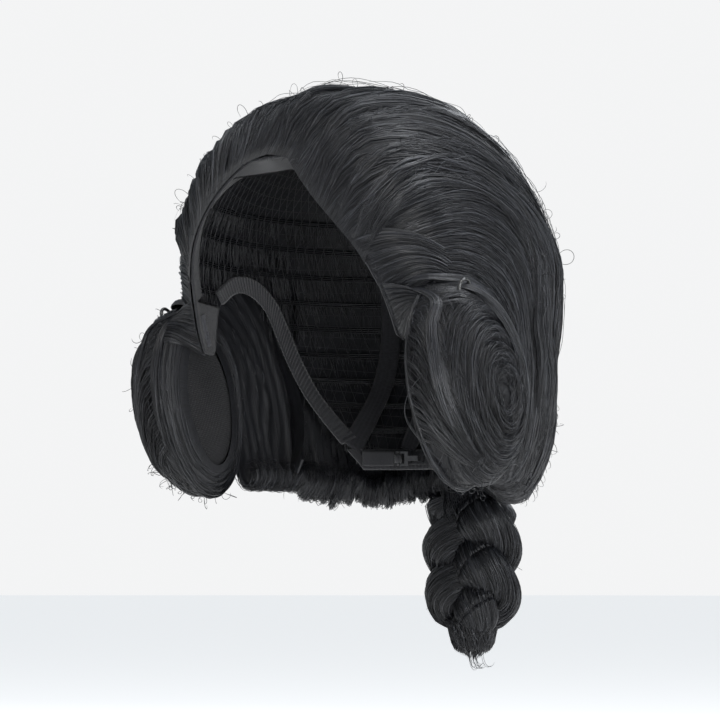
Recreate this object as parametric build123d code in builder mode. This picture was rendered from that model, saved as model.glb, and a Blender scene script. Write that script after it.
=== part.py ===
from build123d import *
from functools import cache
import math
import os

# Costume wig: an open machine-sewn wig cap with a swept-back hair shell, a padded roll over each
# ear and a short thick braid at the nape. Millimetres. +Z is up, the face opening looks along -Y
# and the wearer's left side is +X. The origin is the centre of the head opening at ear level.

os.makedirs("parts", exist_ok=True)

# ---- head and hair forms ----
HEAD_HALF_W = 77.0
HEAD_HALF_L = 96.0      # with the half width this gives a 545 mm girth
WIDEST_Z = 40.0         # height of the widest section above the ears
HEAD_RISE = 88.0        # from the widest section to the crown
HAIR_HALF_W = 94.0
HAIR_HALF_L = 114.0
HAIR_RISE = 104.0
HAIR_CLEAR = 4.0        # the hair starts this far outside the head

# Sides below the widest section, as (radius, Z)
HEAD_SIDE = [(75.9, 15), (71.4, -5), (64, -22), (57.8, -36), (54.6, -48), (54, -62)]
HAIR_SIDE = [(93.6, 15), (92.2, -10), (89.4, -35), (84, -54), (78, -66)]

# ---- outlines in the side view, as (Y, Z) ----
FRONT = [
    (-69.5, 101), (-73.5, 93), (-76, 84), (-76, 74), (-73, 63),
    (-66.5, 49), (-58.5, 33), (-52, 18), (-48.5, 10),
]
TAB_TIP = [(-44.5, 6.5), (-38.5, 7)]    # between the end of FRONT and the start of EAR
EAR = [
    (-34, 12), (-31, 24), (-24, 36), (-12, 43), (0, 43), (11, 36),
    (19, 22), (26, 4), (33, -16), (41, -36), (48, -50),
]
# Lower edge of the hair, going back from the end of FRONT
HAIR_EDGE = [(-34, 5), (-14, 2), (2, -4), (12, -16), (18, -34), (20, -54)]

# Cutting blocks run past the piece to these places
REACH = 170             # to each side, and above the hair
ABOVE = 150             # above the cap
BEHIND = 130            # behind the cap
HAIR_BEHIND = 150
PANEL_REACH = 200       # every way round the hair panels

# Side name, sign of X and the half that a split across X keeps
SIDES = (("left", 1, Keep.TOP), ("right", -1, Keep.BOTTOM))


def write(name, part):
    part.label = name
    export_step(part, f"parts/{name}.step")


def write_halves(name, pair):
    """Split a symmetrical pair at X = 0 and write both halves."""
    for side, _, keep in SIDES:
        with BuildPart() as half:
            add(pair)
            split(bisect_by=Plane.YZ, keep=keep)
        write(f"{side}_{name}", half.part)


def write_mirrored(name, left_part):
    """Write a left-hand part and its right-hand twin."""
    write(f"left_{name}", left_part)
    with BuildPart() as twin:
        add(left_part)
        mirror(about=Plane.YZ, mode=Mode.REPLACE)
    write(f"right_{name}", twin.part)


def fused(*parts):
    with BuildPart() as whole:
        for part in parts:
            add(part)
    return whole.part


def post(centre, radius, bottom, top):
    """An upright round bar at centre (X, Y)."""
    with BuildPart() as bar:
        with BuildSketch(Plane.XY.offset(bottom)):
            with Locations(centre):
                Circle(radius)
        extrude(amount=top - bottom)
    return bar.part


def offset_points(points, distance):
    """Points moved to the left of the direction of travel."""
    moved = []
    for i, (y, z) in enumerate(points):
        y0, z0 = points[max(i - 1, 0)]
        y1, z1 = points[min(i + 1, len(points) - 1)]
        dy, dz = y1 - y0, z1 - z0
        length = math.hypot(dy, dz)
        moved.append((y - dz / length * distance, z + dy / length * distance))
    return moved


def crown_arc(half_width, rise):
    """(radius, Z) points from the crown down to the widest section."""
    angles = [math.radians(degrees) for degrees in range(0, 91, 15)]
    return [(half_width * math.sin(a), WIDEST_Z + rise * math.cos(a)) for a in angles]


def head_profile(grow):
    """Radius and height down the side of the head, grown outwards along the normal."""
    points = crown_arc(HEAD_HALF_W, HEAD_RISE) + HEAD_SIDE
    grown = [(0.0, points[0][1] + grow)]
    for i in range(1, len(points) - 1):
        radius, z = points[i]
        dr = points[i + 1][0] - points[i - 1][0]
        dz = points[i + 1][1] - points[i - 1][1]
        length = math.hypot(dr, dz)
        grown.append((radius - dz / length * grow, z + dr / length * grow))
    radius, z = points[-1]
    return grown + [(radius + grow, z)]


def turned(profile, end_tangent, ratio):
    """A solid of revolution about Z, stretched along Y."""
    with BuildPart() as body:
        with BuildSketch(Plane.XZ):
            with BuildLine():
                Spline(*profile, tangents=[(1, 0), end_tangent])
                Polyline(profile[-1], (0, profile[-1][1]), profile[0])
            make_face()
        revolve(axis=Axis.Z)
        scale(by=(1, ratio, 1))
    return body.part


@cache
def head_form(grow):
    return turned(head_profile(grow), (0, -1), (HEAD_HALF_L + grow) / (HEAD_HALF_W + grow))


def side_prism(points, spline_spans=None):
    """A block across the head with a YZ outline. Spans map first to last index of smooth runs."""
    spans = spline_spans or {}
    with BuildPart() as prism:
        with BuildSketch(Plane.YZ):
            with BuildLine():
                i = 0
                while i < len(points):
                    if i in spans:
                        last = spans[i]
                        Spline(*points[i:last + 1])
                        i = last
                    else:
                        Line(points[i], points[(i + 1) % len(points)])
                        i += 1
            make_face()
        extrude(amount=REACH, both=True)
    return prism.part


def side_box(y0, y1, z0, z1):
    return side_prism([(y0, z0), (y1, z0), (y1, z1), (y0, z1)])


def slabs(xs, width, z, height):
    """Upright walls that run front to back, one for each x."""
    with BuildPart() as walls:
        with BuildSketch(Plane.XZ):
            with Locations(*[(x, z) for x in xs]):
                Rectangle(width, height)
        extrude(amount=REACH, both=True)
    return walls.part


def levels(zs, height):
    """Flat layers, one for each z."""
    with BuildPart() as layers:
        with Locations(*[(0, 0, z) for z in zs]):
            Box(2 * REACH, 2 * REACH, height)
    return layers.part


def cap_piece(layer, *cuts):
    """The part of a skin round the head that lies inside every cut."""
    inner, outer = [head_form(grow) for grow in layer]
    with BuildPart() as piece:
        add(outer)
        add(inner, mode=Mode.SUBTRACT)
        for cut in cuts:
            add(cut, mode=Mode.INTERSECT)
    return piece.part


# ---- wig cap ----
BAND_W = 12.0           # front band
SIDE_W = 9.0            # side bands
NAPE_TOP, NAPE_BOTTOM = -38.0, -50.0
NAPE_MID = (NAPE_TOP + NAPE_BOTTOM) / 2
SEAM_GAP = 0.6

# Layers, as (inner, outer) distance outside the head
NET_LAYER = (1.6, 2.1)
BAND_LAYER = (0.2, 1.3)
TAB_LAYER = (0.2, 1.4)
STAY_LAYER = (-1.0, -0.2)
RIBBON_LAYER = (0.2, 1.2)
TRACK_LAYER = (2.5, 3.5)
PARTING_LAYER = (2.5, 3.3)
LABEL_LAYER = (-0.9, -0.3)
TAPE_LAYER = (-1.4, -0.4)

# Crown net: the stretch net dome that every other cap piece is sewn to.
front_end = len(FRONT)
ear_start = front_end + len(TAB_TIP) + 1
ear_end = ear_start + len(EAR) - 1
rim = [(FRONT[0][0], ABOVE)] + FRONT + TAB_TIP + EAR + [(BEHIND, NAPE_BOTTOM), (BEHIND, ABOVE)]
rim_spans = {1: front_end, front_end: ear_start, ear_start: ear_end}
write("crown_net", cap_piece(NET_LAYER, side_prism(rim, rim_spans)))

# Front band: the stiffened strip along the hairline, from ear tab to ear tab.
TAB_START = 6           # FRONT point where the band meets the ear tab
band_n = TAB_START + 1
band_edge = FRONT[:band_n]
band_back = offset_points(FRONT, BAND_W)[:band_n]
band = [(FRONT[0][0], ABOVE)] + band_edge + band_back[::-1] + [(band_back[0][0], ABOVE)]
band_spans = {1: band_n, band_n + 1: 2 * band_n}
write("front_band", cap_piece(BAND_LAYER, side_prism(band, band_spans)))

# Ear tabs: the padded peaks in front of the ears.
TAB_TOP = 32.4
TAB_BACK_CORNER = (-27.0, 32.0)
tab = [(y, min(z, TAB_TOP)) for y, z in FRONT[TAB_START:] + TAB_TIP + EAR[:2]]
write_halves("ear_tab", cap_piece(TAB_LAYER, side_prism(tab + [TAB_BACK_CORNER])))

# Ear tab stays: flat springy strips sewn inside the tabs.
STAY = [(-51.0, 27.0), (-47.0, 28.5), (-40.5, 13.0), (-44.5, 11.5)]
write_halves("ear_tab_stay", cap_piece(STAY_LAYER, side_prism(STAY)))

# Side bands: elastic ribbon over each ear and down to the nape.
side_low = EAR[2:10]
side_high = offset_points(EAR, SIDE_W)[2:10]
side_n = len(side_low)
side_outline = side_prism(side_low + side_high[::-1], {0: side_n - 1, side_n: 2 * side_n - 1})
write_halves("side_band", cap_piece(BAND_LAYER, side_outline))

# Nape band: wide elastic across the back of the neck.
nape_top = NAPE_TOP - SEAM_GAP
nape = [(42.6, nape_top), (BEHIND, nape_top), (BEHIND, NAPE_BOTTOM), (48.2, NAPE_BOTTOM)]
write("nape_band", cap_piece(BAND_LAYER, side_prism(nape)))

# Cap ribbons: lengthwise lace ribbons from the front band over the crown to the nape band.
RIBBON_W, RIBBON_PITCH = 8, 22.5
RIBBON_BOTTOM = -37.6
# Lower edge of the ribbons behind the front band, as (Y, Z)
RIBBON_EDGE = [
    (-40, 50), (-28, 48), (-14, 53.5), (2, 53.5), (18.5, 46), (28.5, 27),
    (36, 8), (43, -12), (51, -32), (51, RIBBON_BOTTOM),
]
ribbon_front = offset_points(FRONT, BAND_W + SEAM_GAP)[:6]
ribbon_field = (
    [(ribbon_front[0][0], ABOVE)] + ribbon_front + RIBBON_EDGE
    + [(BEHIND, RIBBON_BOTTOM), (BEHIND, ABOVE)]
)
ribbon_walls = slabs([i * RIBBON_PITCH for i in range(-2, 3)], RIBBON_W, z=50, height=220)
write("cap_ribbons", cap_piece(RIBBON_LAYER, side_prism(ribbon_field), ribbon_walls))

# Weft tracks: the stitched heads of the hair wefts, in rows round the cap.
TRACK_W, TRACK_PITCH = 3, 14
TRACK_FRONT_Y = -67.0
TRACK_BOTTOM = -47
# Edge of the tracks round the ear, as (Y, Z)
TRACK_EAR = [
    (-43, 14), (-37, 14), (-33, 26), (-26, 38.5), (-12.5, 46), (1, 46), (13, 38.5),
    (21.5, 23.5), (28.5, 5), (35.5, -15), (43.5, -35), (49, TRACK_BOTTOM),
]
track_field = (
    [(TRACK_FRONT_Y, ABOVE)] + offset_points(FRONT, 2.5)[:8] + TRACK_EAR
    + [(BEHIND, TRACK_BOTTOM), (BEHIND, ABOVE)]
)
track_rows = levels([i * TRACK_PITCH for i in range(-3, 7)], TRACK_W)
write("weft_tracks", cap_piece(TRACK_LAYER, side_prism(track_field), track_rows))

# Parting strip: the skin-toned lace under the short centre part.
parting_box = side_box(-66.5, -30, 99.0, ABOVE)
parting_wall = slabs([0], width=14, z=110, height=60)
write("parting_strip", cap_piece(PARTING_LAYER, parting_box, parting_wall))

# Size label: a blank woven tag at the nape.
label_box = side_box(0, BEHIND, -33, -19)
label_wall = slabs([0], width=26, z=-26, height=30)
write("size_label", cap_piece(LABEL_LAYER, label_box, label_wall))

# Loop tape: ladder tape inside the nape band, with eyelets that the adjuster hooks catch in.
TAPE_HALF_H = 3
EYELET_PITCH = 6
tape_box = side_box(0, BEHIND, NAPE_MID - TAPE_HALF_H, NAPE_MID + TAPE_HALF_H)
tape = cap_piece(TAPE_LAYER, tape_box, slabs([0], width=44, z=NAPE_MID, height=20))
with BuildPart() as loop_tape:
    add(tape)
    with BuildSketch(Plane.XZ):
        with Locations(*[(i * EYELET_PITCH, NAPE_MID) for i in range(-3, 4)]):
            SlotOverall(4.2, 1.6, rotation=90)
    extrude(amount=-BEHIND, mode=Mode.SUBTRACT)
write("loop_tape", loop_tape.part)

# ---- nape adjusters ----
# They follow a circle about (0, ADJ_Y). Angles are in degrees from +Y towards +X.
# Half heights are measured from the middle of the nape band.
ADJ_Y = 13.0
ADJ_R = 50.0
PIVOT_ANGLE = 27.0      # of the hook's bar
STRAP_END_ANGLE = 49.0
STRAP_HALF_H = 4.0
STRAP_TAB_HALF_H = 2.4
HOOK_HALF_H = 3.8
ARM_H = 1.0
TONGUE_HALF_H = 1.4


def adjuster_point(radius, angle):
    a = math.radians(angle)
    return (radius * math.sin(a), ADJ_Y + radius * math.cos(a))


def arc_strip(inset, outset, start, end, bottom, top):
    """A curved strip from inset to outset about ADJ_R, between two angles."""
    inner, outer = ADJ_R + inset, ADJ_R + outset
    middle = (start + end) / 2
    inner_arc = [adjuster_point(inner, angle) for angle in (start, middle, end)]
    outer_arc = [adjuster_point(outer, angle) for angle in (end, middle, start)]
    with BuildPart() as strip:
        with BuildSketch(Plane.XY.offset(NAPE_MID + bottom)):
            with BuildLine():
                ThreePointArc(*inner_arc)
                Line(inner_arc[-1], outer_arc[0])
                ThreePointArc(*outer_arc)
                Line(outer_arc[-1], inner_arc[0])
            make_face()
        extrude(amount=top - bottom)
    return strip.part


def pivot_post(radius, bottom, top):
    pivot = adjuster_point(ADJ_R, PIVOT_ANGLE)
    return post(pivot, radius, NAPE_MID + bottom, NAPE_MID + top)


def adjuster_strap():
    """The left strap, with an eye round the hook's bar."""
    full, narrow = STRAP_HALF_H, STRAP_TAB_HALF_H
    ribbon = arc_strip(-0.5, 0.5, PIVOT_ANGLE + 2.4, STRAP_END_ANGLE, -full, full)
    tab = arc_strip(-0.5, 0.5, PIVOT_ANGLE, PIVOT_ANGLE + 2.6, -narrow, narrow)
    eye = pivot_post(1.9, -narrow, narrow)
    bore = pivot_post(0.92, -full - 1, full + 1)
    with BuildPart() as strap:
        add(ribbon)
        add(tab)
        add(eye)
        add(bore, mode=Mode.SUBTRACT)
    return strap.part


def adjuster_hook():
    """The left hook: a bar with an arm at each end, a cross strip and a tongue that turns back."""
    full, tongue = HOOK_HALF_H, TONGUE_HALF_H
    arm_spans = [(-full, ARM_H - full), (full - ARM_H, full)]
    pieces = [pivot_post(0.85, -full, full)]
    pieces += [pivot_post(1.5, *span) for span in arm_spans]
    pieces += [arc_strip(-0.6, 0.4, 22.5, PIVOT_ANGLE, *span) for span in arm_spans]
    pieces.append(arc_strip(-0.6, 0.4, 20.5, 22.8, -full, full))
    pieces.append(arc_strip(-0.6, 0.4, 14.0, 21.0, -tongue, tongue))
    pieces.append(arc_strip(0.3, 2.3, 14.0, 15.2, -tongue, tongue))
    pieces.append(arc_strip(1.5, 2.3, 14.0, 17.6, -tongue, tongue))
    return fused(*pieces)


write_mirrored("adjuster_strap", adjuster_strap())
write_mirrored("adjuster_hook", adjuster_hook())

# ---- side rolls ----
ROLL_X, ROLL_Y, ROLL_Z = 94.0, -31.0, -16.0     # centre of the left roll
ROLL_R, ROLL_HALF_H = 30.0, 51.0
ROLL_TILT = 14.0        # its foot leans back by this many degrees
ROLL_FLAT_X = 78.0      # it is flat against the head here
ROLL_EYE_R = 5.0        # flat over the coil's eye at each end
PAD_X = 91.0            # its soft pad sits closer to the head
PAD_R, PAD_HALF_H = 21.0, 40.0
PAD_CLEAR = 1.2         # between pad and roll
PAD_FLAT_INSET = 1.5    # the pad's flat is this far outside the roll's
ROLL_CLEAR = 1.4        # between roll and hair

PIN_WIRE_R = 0.9
PIN_GAP = 7.0           # between the leg centre lines
PIN_L = 46.0
PIN_CLEAR = 0.5         # round the wire in its slot


def roll_blob(x, radius, half_height):
    """An egg-shaped solid over the ear with a flat at each end."""
    turn = math.degrees(math.acos(ROLL_EYE_R / radius))
    end = half_height * math.sin(math.radians(turn))
    with BuildPart() as egg:
        with BuildSketch(Plane.XZ):
            with BuildLine():
                EllipticalCenterArc(
                    (0, 0), radius, half_height, start_angle=-turn, arc_size=2 * turn
                )
                Polyline((ROLL_EYE_R, end), (0, end), (0, -end), (ROLL_EYE_R, -end))
            make_face()
        revolve(axis=Axis.Z)
    upright = egg.part.rotate(Axis.Z, -90)
    return upright.rotate(Axis.X, ROLL_TILT).translate(Vector(x, ROLL_Y, ROLL_Z))


def hairpin(bend, direction, across):
    """A U-shaped hairpin. Its legs run from the bend against direction."""
    frame = Plane(origin=bend, x_dir=across, z_dir=direction)
    half_gap = PIN_GAP / 2
    leg = PIN_L - half_gap
    start = bend - across * half_gap - direction * leg
    with BuildPart() as pin:
        with BuildLine(Plane(origin=bend, x_dir=across, z_dir=-frame.y_dir)):
            Line((-half_gap, -leg), (-half_gap, 0))
            ThreePointArc((-half_gap, 0), (0, half_gap), (half_gap, 0))
            Line((half_gap, 0), (half_gap, -leg))
        with BuildSketch(Plane(origin=start, z_dir=direction)):
            Circle(PIN_WIRE_R)
        sweep()
    return pin.part


def pin_channel(bend, direction, across):
    """The slot that a hairpin slides in."""
    depth = 2 * (PIN_WIRE_R + PIN_CLEAR)
    with BuildPart(Plane(origin=bend, x_dir=across, z_dir=direction)) as channel:
        with Locations((0, 0, -PIN_L / 2 + 2)):
            Box(PIN_GAP + depth, depth, PIN_L + 6)
    return channel.part


def cut_blob(blob, cavities, flat_x, keep, channels):
    """A roll blob less its cavities, cut flat towards the head and slotted for the pins."""
    with BuildPart() as piece:
        add(blob)
        for cavity in cavities:
            add(cavity, mode=Mode.SUBTRACT)
        split(bisect_by=Plane.YZ.offset(flat_x), keep=keep)
        for channel in channels:
            add(channel, mode=Mode.SUBTRACT)
    return piece.part


# Left pins: name, centre of the bend, direction, rough direction from leg to leg
PINS = [
    ("top", Vector(101.0, -40.5, 31.0), Vector(0.26, -0.12, 0.958), Vector(0, 1, 0)),
    ("rear", Vector(105.0, -3.5, -23.0), Vector(0.22, 0.97, -0.05), Vector(0, 0, 1)),
]


def pin_frames(sign):
    """Bend, direction and across vector of each pin on one side, by pin name."""
    frames = {}
    for name, bend, toward, hint in PINS:
        direction = toward.normalized()
        across = (hint - direction * hint.dot(direction)).normalized()
        frames[name] = [Vector(sign * v.X, v.Y, v.Z) for v in (bend, direction, across)]
    return frames


for side, sign, keep in SIDES:
    pins = pin_frames(sign)
    channels = [pin_channel(*frame) for frame in pins.values()]
    roll = roll_blob(sign * ROLL_X, ROLL_R, ROLL_HALF_H)
    hollow = roll_blob(sign * PAD_X, PAD_R + PAD_CLEAR, PAD_HALF_H + PAD_CLEAR)
    pad = roll_blob(sign * PAD_X, PAD_R, PAD_HALF_H)
    pad_flat_x = sign * (ROLL_FLAT_X + PAD_FLAT_INSET)
    write(f"{side}_side_roll", cut_blob(roll, [hollow], sign * ROLL_FLAT_X, keep, channels))
    write(f"{side}_roll_pad", cut_blob(pad, [], pad_flat_x, keep, channels))
    for name, frame in pins.items():
        write(f"{side}_{name}_hairpin", hairpin(*frame))

# ---- hair panels ----
PANEL_GAP = 0.6
FRONT_SPLIT_Y = -2      # the front panels end here
CROWN_SPLIT_Z = 62      # the crown panel starts here
NAPE_SPLIT_Z = -38      # the back panel starts here


def hair_shell():
    """All the hair round the head, cleared round both rolls."""
    profile = crown_arc(HAIR_HALF_W, HAIR_RISE) + HAIR_SIDE
    form = turned(profile, (-0.5, -1), HAIR_HALF_L / HAIR_HALF_W)
    inside = head_form(HAIR_CLEAR)
    corners = [(HAIR_BEHIND, HAIR_EDGE[-1][1]), (HAIR_BEHIND, REACH)]
    outline = [(FRONT[0][0], REACH)] + FRONT + HAIR_EDGE + corners
    prism = side_prism(outline, {1: front_end, front_end: front_end + len(HAIR_EDGE)})
    clearances = [
        roll_blob(sign * ROLL_X, ROLL_R + ROLL_CLEAR, ROLL_HALF_H + ROLL_CLEAR)
        for _, sign, _ in SIDES
    ]
    with BuildPart() as hair:
        add(form)
        add(inside, mode=Mode.SUBTRACT)
        add(prism, mode=Mode.INTERSECT)
        for clearance in clearances:
            add(clearance, mode=Mode.SUBTRACT)
    return hair.part


# Panel name and its range in X, Y and Z
FAR = PANEL_REACH
ALL = (-FAR, FAR)
FORE = (-FAR, FRONT_SPLIT_Y)
REAR = (FRONT_SPLIT_Y + PANEL_GAP, FAR)
PANELS = [
    ("left_front_hair", (PANEL_GAP / 2, FAR), FORE, ALL),
    ("right_front_hair", (-FAR, -PANEL_GAP / 2), FORE, ALL),
    ("crown_hair", ALL, REAR, (CROWN_SPLIT_Z, FAR)),
    ("back_hair", ALL, REAR, (NAPE_SPLIT_Z, CROWN_SPLIT_Z - PANEL_GAP)),
    ("nape_roll", ALL, REAR, (-FAR, NAPE_SPLIT_Z - PANEL_GAP)),
]
hair = hair_shell()
for name, *ranges in PANELS:
    with BuildPart() as panel:
        add(hair)
        with Locations(tuple((low + high) / 2 for low, high in ranges)):
            Box(*[high - low for low, high in ranges], mode=Mode.INTERSECT)
    write(name, panel.part)

# ---- braid ----
BRAID_CENTRE = (0, 93.0)                # (X, Y) of its centre line
BRAID_HALF_W, BRAID_HALF_D = 30.0, 21.0
TAIL_NECK_R = 7.0
TAIL_NECK_BOTTOM = -140.0


def bead(z, half_height, half_width, half_depth):
    with BuildPart() as ball:
        Sphere(1.0)
        scale(by=(half_width, half_depth, half_height))
    return ball.part.translate(Vector(*BRAID_CENTRE, z))


def tie(inner, outer, bottom, top):
    """A ring round the braid with rounded edges."""
    with BuildPart() as ring:
        with BuildSketch(Plane.XY.offset(bottom)):
            with Locations(BRAID_CENTRE):
                Circle(outer)
                Circle(inner, mode=Mode.SUBTRACT)
        extrude(amount=top - bottom)
        fillet(ring.edges().filter_by(GeomType.CIRCLE), (top - bottom) * 0.3)
    return ring.part


def braid_tail():
    """The lowest bead, its neck and a tapered tip."""
    tail_bead = bead(-123.6, 11.6, BRAID_HALF_W - 3, BRAID_HALF_D - 1)
    neck = post(BRAID_CENTRE, TAIL_NECK_R, TAIL_NECK_BOTTOM, -123.0)
    with BuildPart() as tail:
        add(tail_bead)
        add(neck)
        with BuildSketch(Plane.XY.offset(TAIL_NECK_BOTTOM)):
            with Locations(BRAID_CENTRE):
                Circle(TAIL_NECK_R)
        extrude(amount=-4.5, taper=35)
    return tail.part


upper_bead = bead(-76.8, 10.8, BRAID_HALF_W, BRAID_HALF_D)
write("braid_upper", fused(upper_bead, post(BRAID_CENTRE, 8.5, -72.0, -59.0)))
write("braid_root_tie", tie(9.0, 12.0, -65.2, -61.4))
write("braid_middle", bead(-99.9, 10.4, BRAID_HALF_W - 2, BRAID_HALF_D - 1))
write("braid_tail", braid_tail())
write("braid_end_tie", tie(7.5, 10.2, -139.4, -136.0))
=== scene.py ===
import math
from functools import lru_cache

import bpy
import numpy as np
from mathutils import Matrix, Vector


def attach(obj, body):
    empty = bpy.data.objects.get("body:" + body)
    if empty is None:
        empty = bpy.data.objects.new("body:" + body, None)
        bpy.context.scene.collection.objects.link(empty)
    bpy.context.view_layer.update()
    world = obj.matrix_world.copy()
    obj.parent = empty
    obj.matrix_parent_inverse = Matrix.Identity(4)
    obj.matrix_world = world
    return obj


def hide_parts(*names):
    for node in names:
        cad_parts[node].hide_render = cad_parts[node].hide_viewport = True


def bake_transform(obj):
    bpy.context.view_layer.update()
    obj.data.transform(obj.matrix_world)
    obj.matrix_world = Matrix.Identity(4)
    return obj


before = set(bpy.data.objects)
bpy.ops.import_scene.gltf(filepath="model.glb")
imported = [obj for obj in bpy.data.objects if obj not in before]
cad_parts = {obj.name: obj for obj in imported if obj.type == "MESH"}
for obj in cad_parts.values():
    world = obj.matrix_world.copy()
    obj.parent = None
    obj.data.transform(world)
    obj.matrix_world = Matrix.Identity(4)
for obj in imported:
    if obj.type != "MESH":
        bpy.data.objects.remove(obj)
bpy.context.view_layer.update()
MM = 0.001
PI = math.pi
TURN = 2 * PI
SIDES = ((1, "left"), (-1, "right"))

# Head form: half width and half depth at its widest level, and the crown's rise above that level
HEAD_HALF_WIDTH, HEAD_HALF_DEPTH, HEAD_RISE = 77.0, 96.0, 88.0
WIDEST_Z = 40.0
# Hair form, measured the same way
HAIR_HALF_WIDTH, HAIR_HALF_DEPTH, HAIR_RISE = 94.0, 114.0, 104.0

# Lower parts of the two side profiles (radius, z)
HEAD_WALL = [(75.9, 15), (71.4, -5), (64, -22), (57.8, -36), (54.6, -48), (54, -62), (54, -80)]
HAIR_WALL = [(93.6, 15), (92.2, -10), (89.4, -35), (84, -54), (78, -66), (70, -84)]

# Edges of the cap in side view (y, z): forehead to ear tab, and round the ear to the nape
FRONT = np.array([(-69.5, 101), (-73.5, 93), (-76, 84), (-76, 74), (-73, 63), (-66.5, 49),
                  (-58.5, 33), (-52, 18), (-48.5, 10)])
EAR = np.array([(-34, 12), (-31, 24), (-24, 36), (-12, 43), (0, 43), (11, 36), (19, 22),
                (26, 4), (33, -16), (41, -36), (48, -50)], float)

# Edges of the side hair in side view (y, z), from the temple to the nape
SIDE_TOP = [(-71, 60), (-58, 77), (-36, 91), (-8, 96), (22, 87), (46, 63), (58, 24), (62, -16),
            (58, -57)]
SIDE_LOW = [(-50.5, 13), (-44, 20), (-32, 18), (-17, 5), (-9, -14), (-6, -34), (-4, -57)]

# Side rolls: centre, half sizes along the tilted back and up directions, and dome
ROLL_CENTRE = np.array([94.0, -31.0, -16.0])
ROLL_TILT = math.radians(14.0)
ROLL_UP = np.array([0.0, -math.sin(ROLL_TILT), math.cos(ROLL_TILT)])
ROLL_BACK = np.array([0.0, math.cos(ROLL_TILT), math.sin(ROLL_TILT)])
OUT = np.array([1.0, 0.0, 0.0])
ROLL_HALF_DEPTH, ROLL_HALF_HEIGHT = 31.0, 50.5
ROLL_RIM_X, ROLL_DOME = 86.0, 34.0

# Braid
BRAID_Y = 93.0
BRAID_PERIOD = 74.0
BRAID_PHASE_Z = -79.6
BRAID_SWING, BRAID_DEPTH = 15.0, 7.6           # how far a strand's centre moves in X and in Y
STRAND_HALF_WIDTH, STRAND_HALF_DEPTH = 13.2, 10.2


# ---------------------------------------------------------------- small helpers
def unit(vectors):
    return vectors / np.maximum(np.linalg.norm(vectors, axis=-1, keepdims=True), 1e-9)


def smooth(x):
    x = np.clip(x, 0, 1)
    return x * x * (3 - 2 * x)


def ramp(count):
    """0 to 1 as one row."""
    return np.linspace(0, 1, count)[None, :]


def vec(*parts):
    """Parts broadcast together and stacked as the last axis."""
    return np.stack(np.broadcast_arrays(*parts), -1)


def mirror(points, side):
    out = points.copy()
    out[..., 0] *= side
    return out


def lifted(points, normals, lift):
    return points + normals * np.asarray(lift)[..., None]


def ridge(x):
    """0 in the middle of each unit cell, 1 at its edges."""
    return np.abs(x % 1 - 0.5) * 2


def wobble(rand, count, stations, *waves):
    """Smooth random rows, each a few sine waves, from about -1 to 1."""
    share = ramp(stations)
    out = np.zeros((count, stations))
    for k, wave in enumerate(waves):
        rate = wave * rand.uniform(0.75, 1.3, (count, 1))
        out += np.sin(TURN * (rate * share + rand.random((count, 1)))) / (k + 1.0)
    return out / sum(1.0 / (k + 1) for k in range(len(waves)))


def dense(points, count=600):
    """A Catmull-Rom curve through points, as samples evenly spaced along it."""
    p = np.array(points, float)
    p = np.vstack([2 * p[0] - p[1], p, 2 * p[-1] - p[-2]])
    t = np.linspace(0, 1, 40, endpoint=False)[:, None]
    pieces = []
    for i in range(1, len(p) - 2):
        a, b, c, d = p[i - 1:i + 3]
        pieces.append(0.5 * (2 * b + (c - a) * t + (2 * a - 5 * b + 4 * c - d) * t ** 2
                             + (-a + 3 * b - 3 * c + d) * t ** 3))
    curve = np.vstack(pieces + [p[-2][None]])
    steps = np.linalg.norm(np.diff(curve, axis=0), axis=1)
    length = np.concatenate([[0], np.cumsum(steps)])
    wanted = np.linspace(0, length[-1], count)
    return np.stack([np.interp(wanted, length, column) for column in curve.T], 1)


def along(curve, share):
    """Points of a dense curve at shares of its length."""
    places = np.linspace(0, 1, len(curve))
    return np.stack([np.interp(share, places, column) for column in curve.T], -1)


def bow(start, middle, end, t):
    """A parabola from start to end that passes through middle at t = 0.5."""
    control = 2 * middle - 0.5 * (start + end)
    return (1 - t) ** 2 * start + 2 * t * (1 - t) * control + t ** 2 * end


def offset_points(points, distance):
    """An outline moved sideways, to the left of its own direction."""
    points = np.array(points, float)
    padded = np.vstack([points[:1], points, points[-1:]])
    ahead = unit(padded[2:] - padded[:-2])
    return points + distance * np.stack([-ahead[:, 1], ahead[:, 0]], 1)


# ---------------------------------------------------------------- head and hair forms
class Form:
    """A turned wall with a domed crown: radius in X against height, stretched along Y."""

    def __init__(self, profile, ratio):
        curve = dense(profile, 900)
        order = np.argsort(curve[:, 1])
        self.radii, self.heights = curve[order].T
        self.widest, self.top, self.ratio = self.radii.max(), self.heights.max(), ratio

    def radius(self, z):
        """Radius of the wall, at or below the widest level."""
        return np.interp(z, self.heights, self.radii)

    def gauge(self, p):
        """Below 1 inside the form, above 1 outside."""
        z = p[..., 2]
        reach = np.sqrt(p[..., 0] ** 2 + (p[..., 1] / self.ratio) ** 2)
        rise = (z - WIDEST_Z) / (self.top - WIDEST_Z)
        dome = np.sqrt((reach / self.widest) ** 2 + rise ** 2)
        return np.where(z > WIDEST_Z, dome, reach / self.radius(np.minimum(z, WIDEST_Z)))

    def normal(self, p):
        step = 0.8 * np.eye(3)
        return unit(np.stack([self.gauge(p + s) - self.gauge(p - s) for s in step], -1))

    def hit(self, origin, direction):
        """Where rays from inside leave the form."""
        origin, direction = np.broadcast_arrays(origin, direction)
        direction = unit(direction)
        near = np.zeros(direction.shape[:-1])
        far = np.full(near.shape, 320.0)
        for _ in range(30):
            middle = (near + far) / 2
            inside = self.gauge(origin + direction * middle[..., None]) < 1
            near, far = np.where(inside, middle, near), np.where(inside, far, middle)
        return origin + direction * near[..., None]


def side_profile(half_width, rise, wall):
    angles = [math.radians(k) for k in range(0, 91, 15)]
    return [(half_width * math.sin(a), WIDEST_Z + rise * math.cos(a)) for a in angles] + wall


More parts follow.
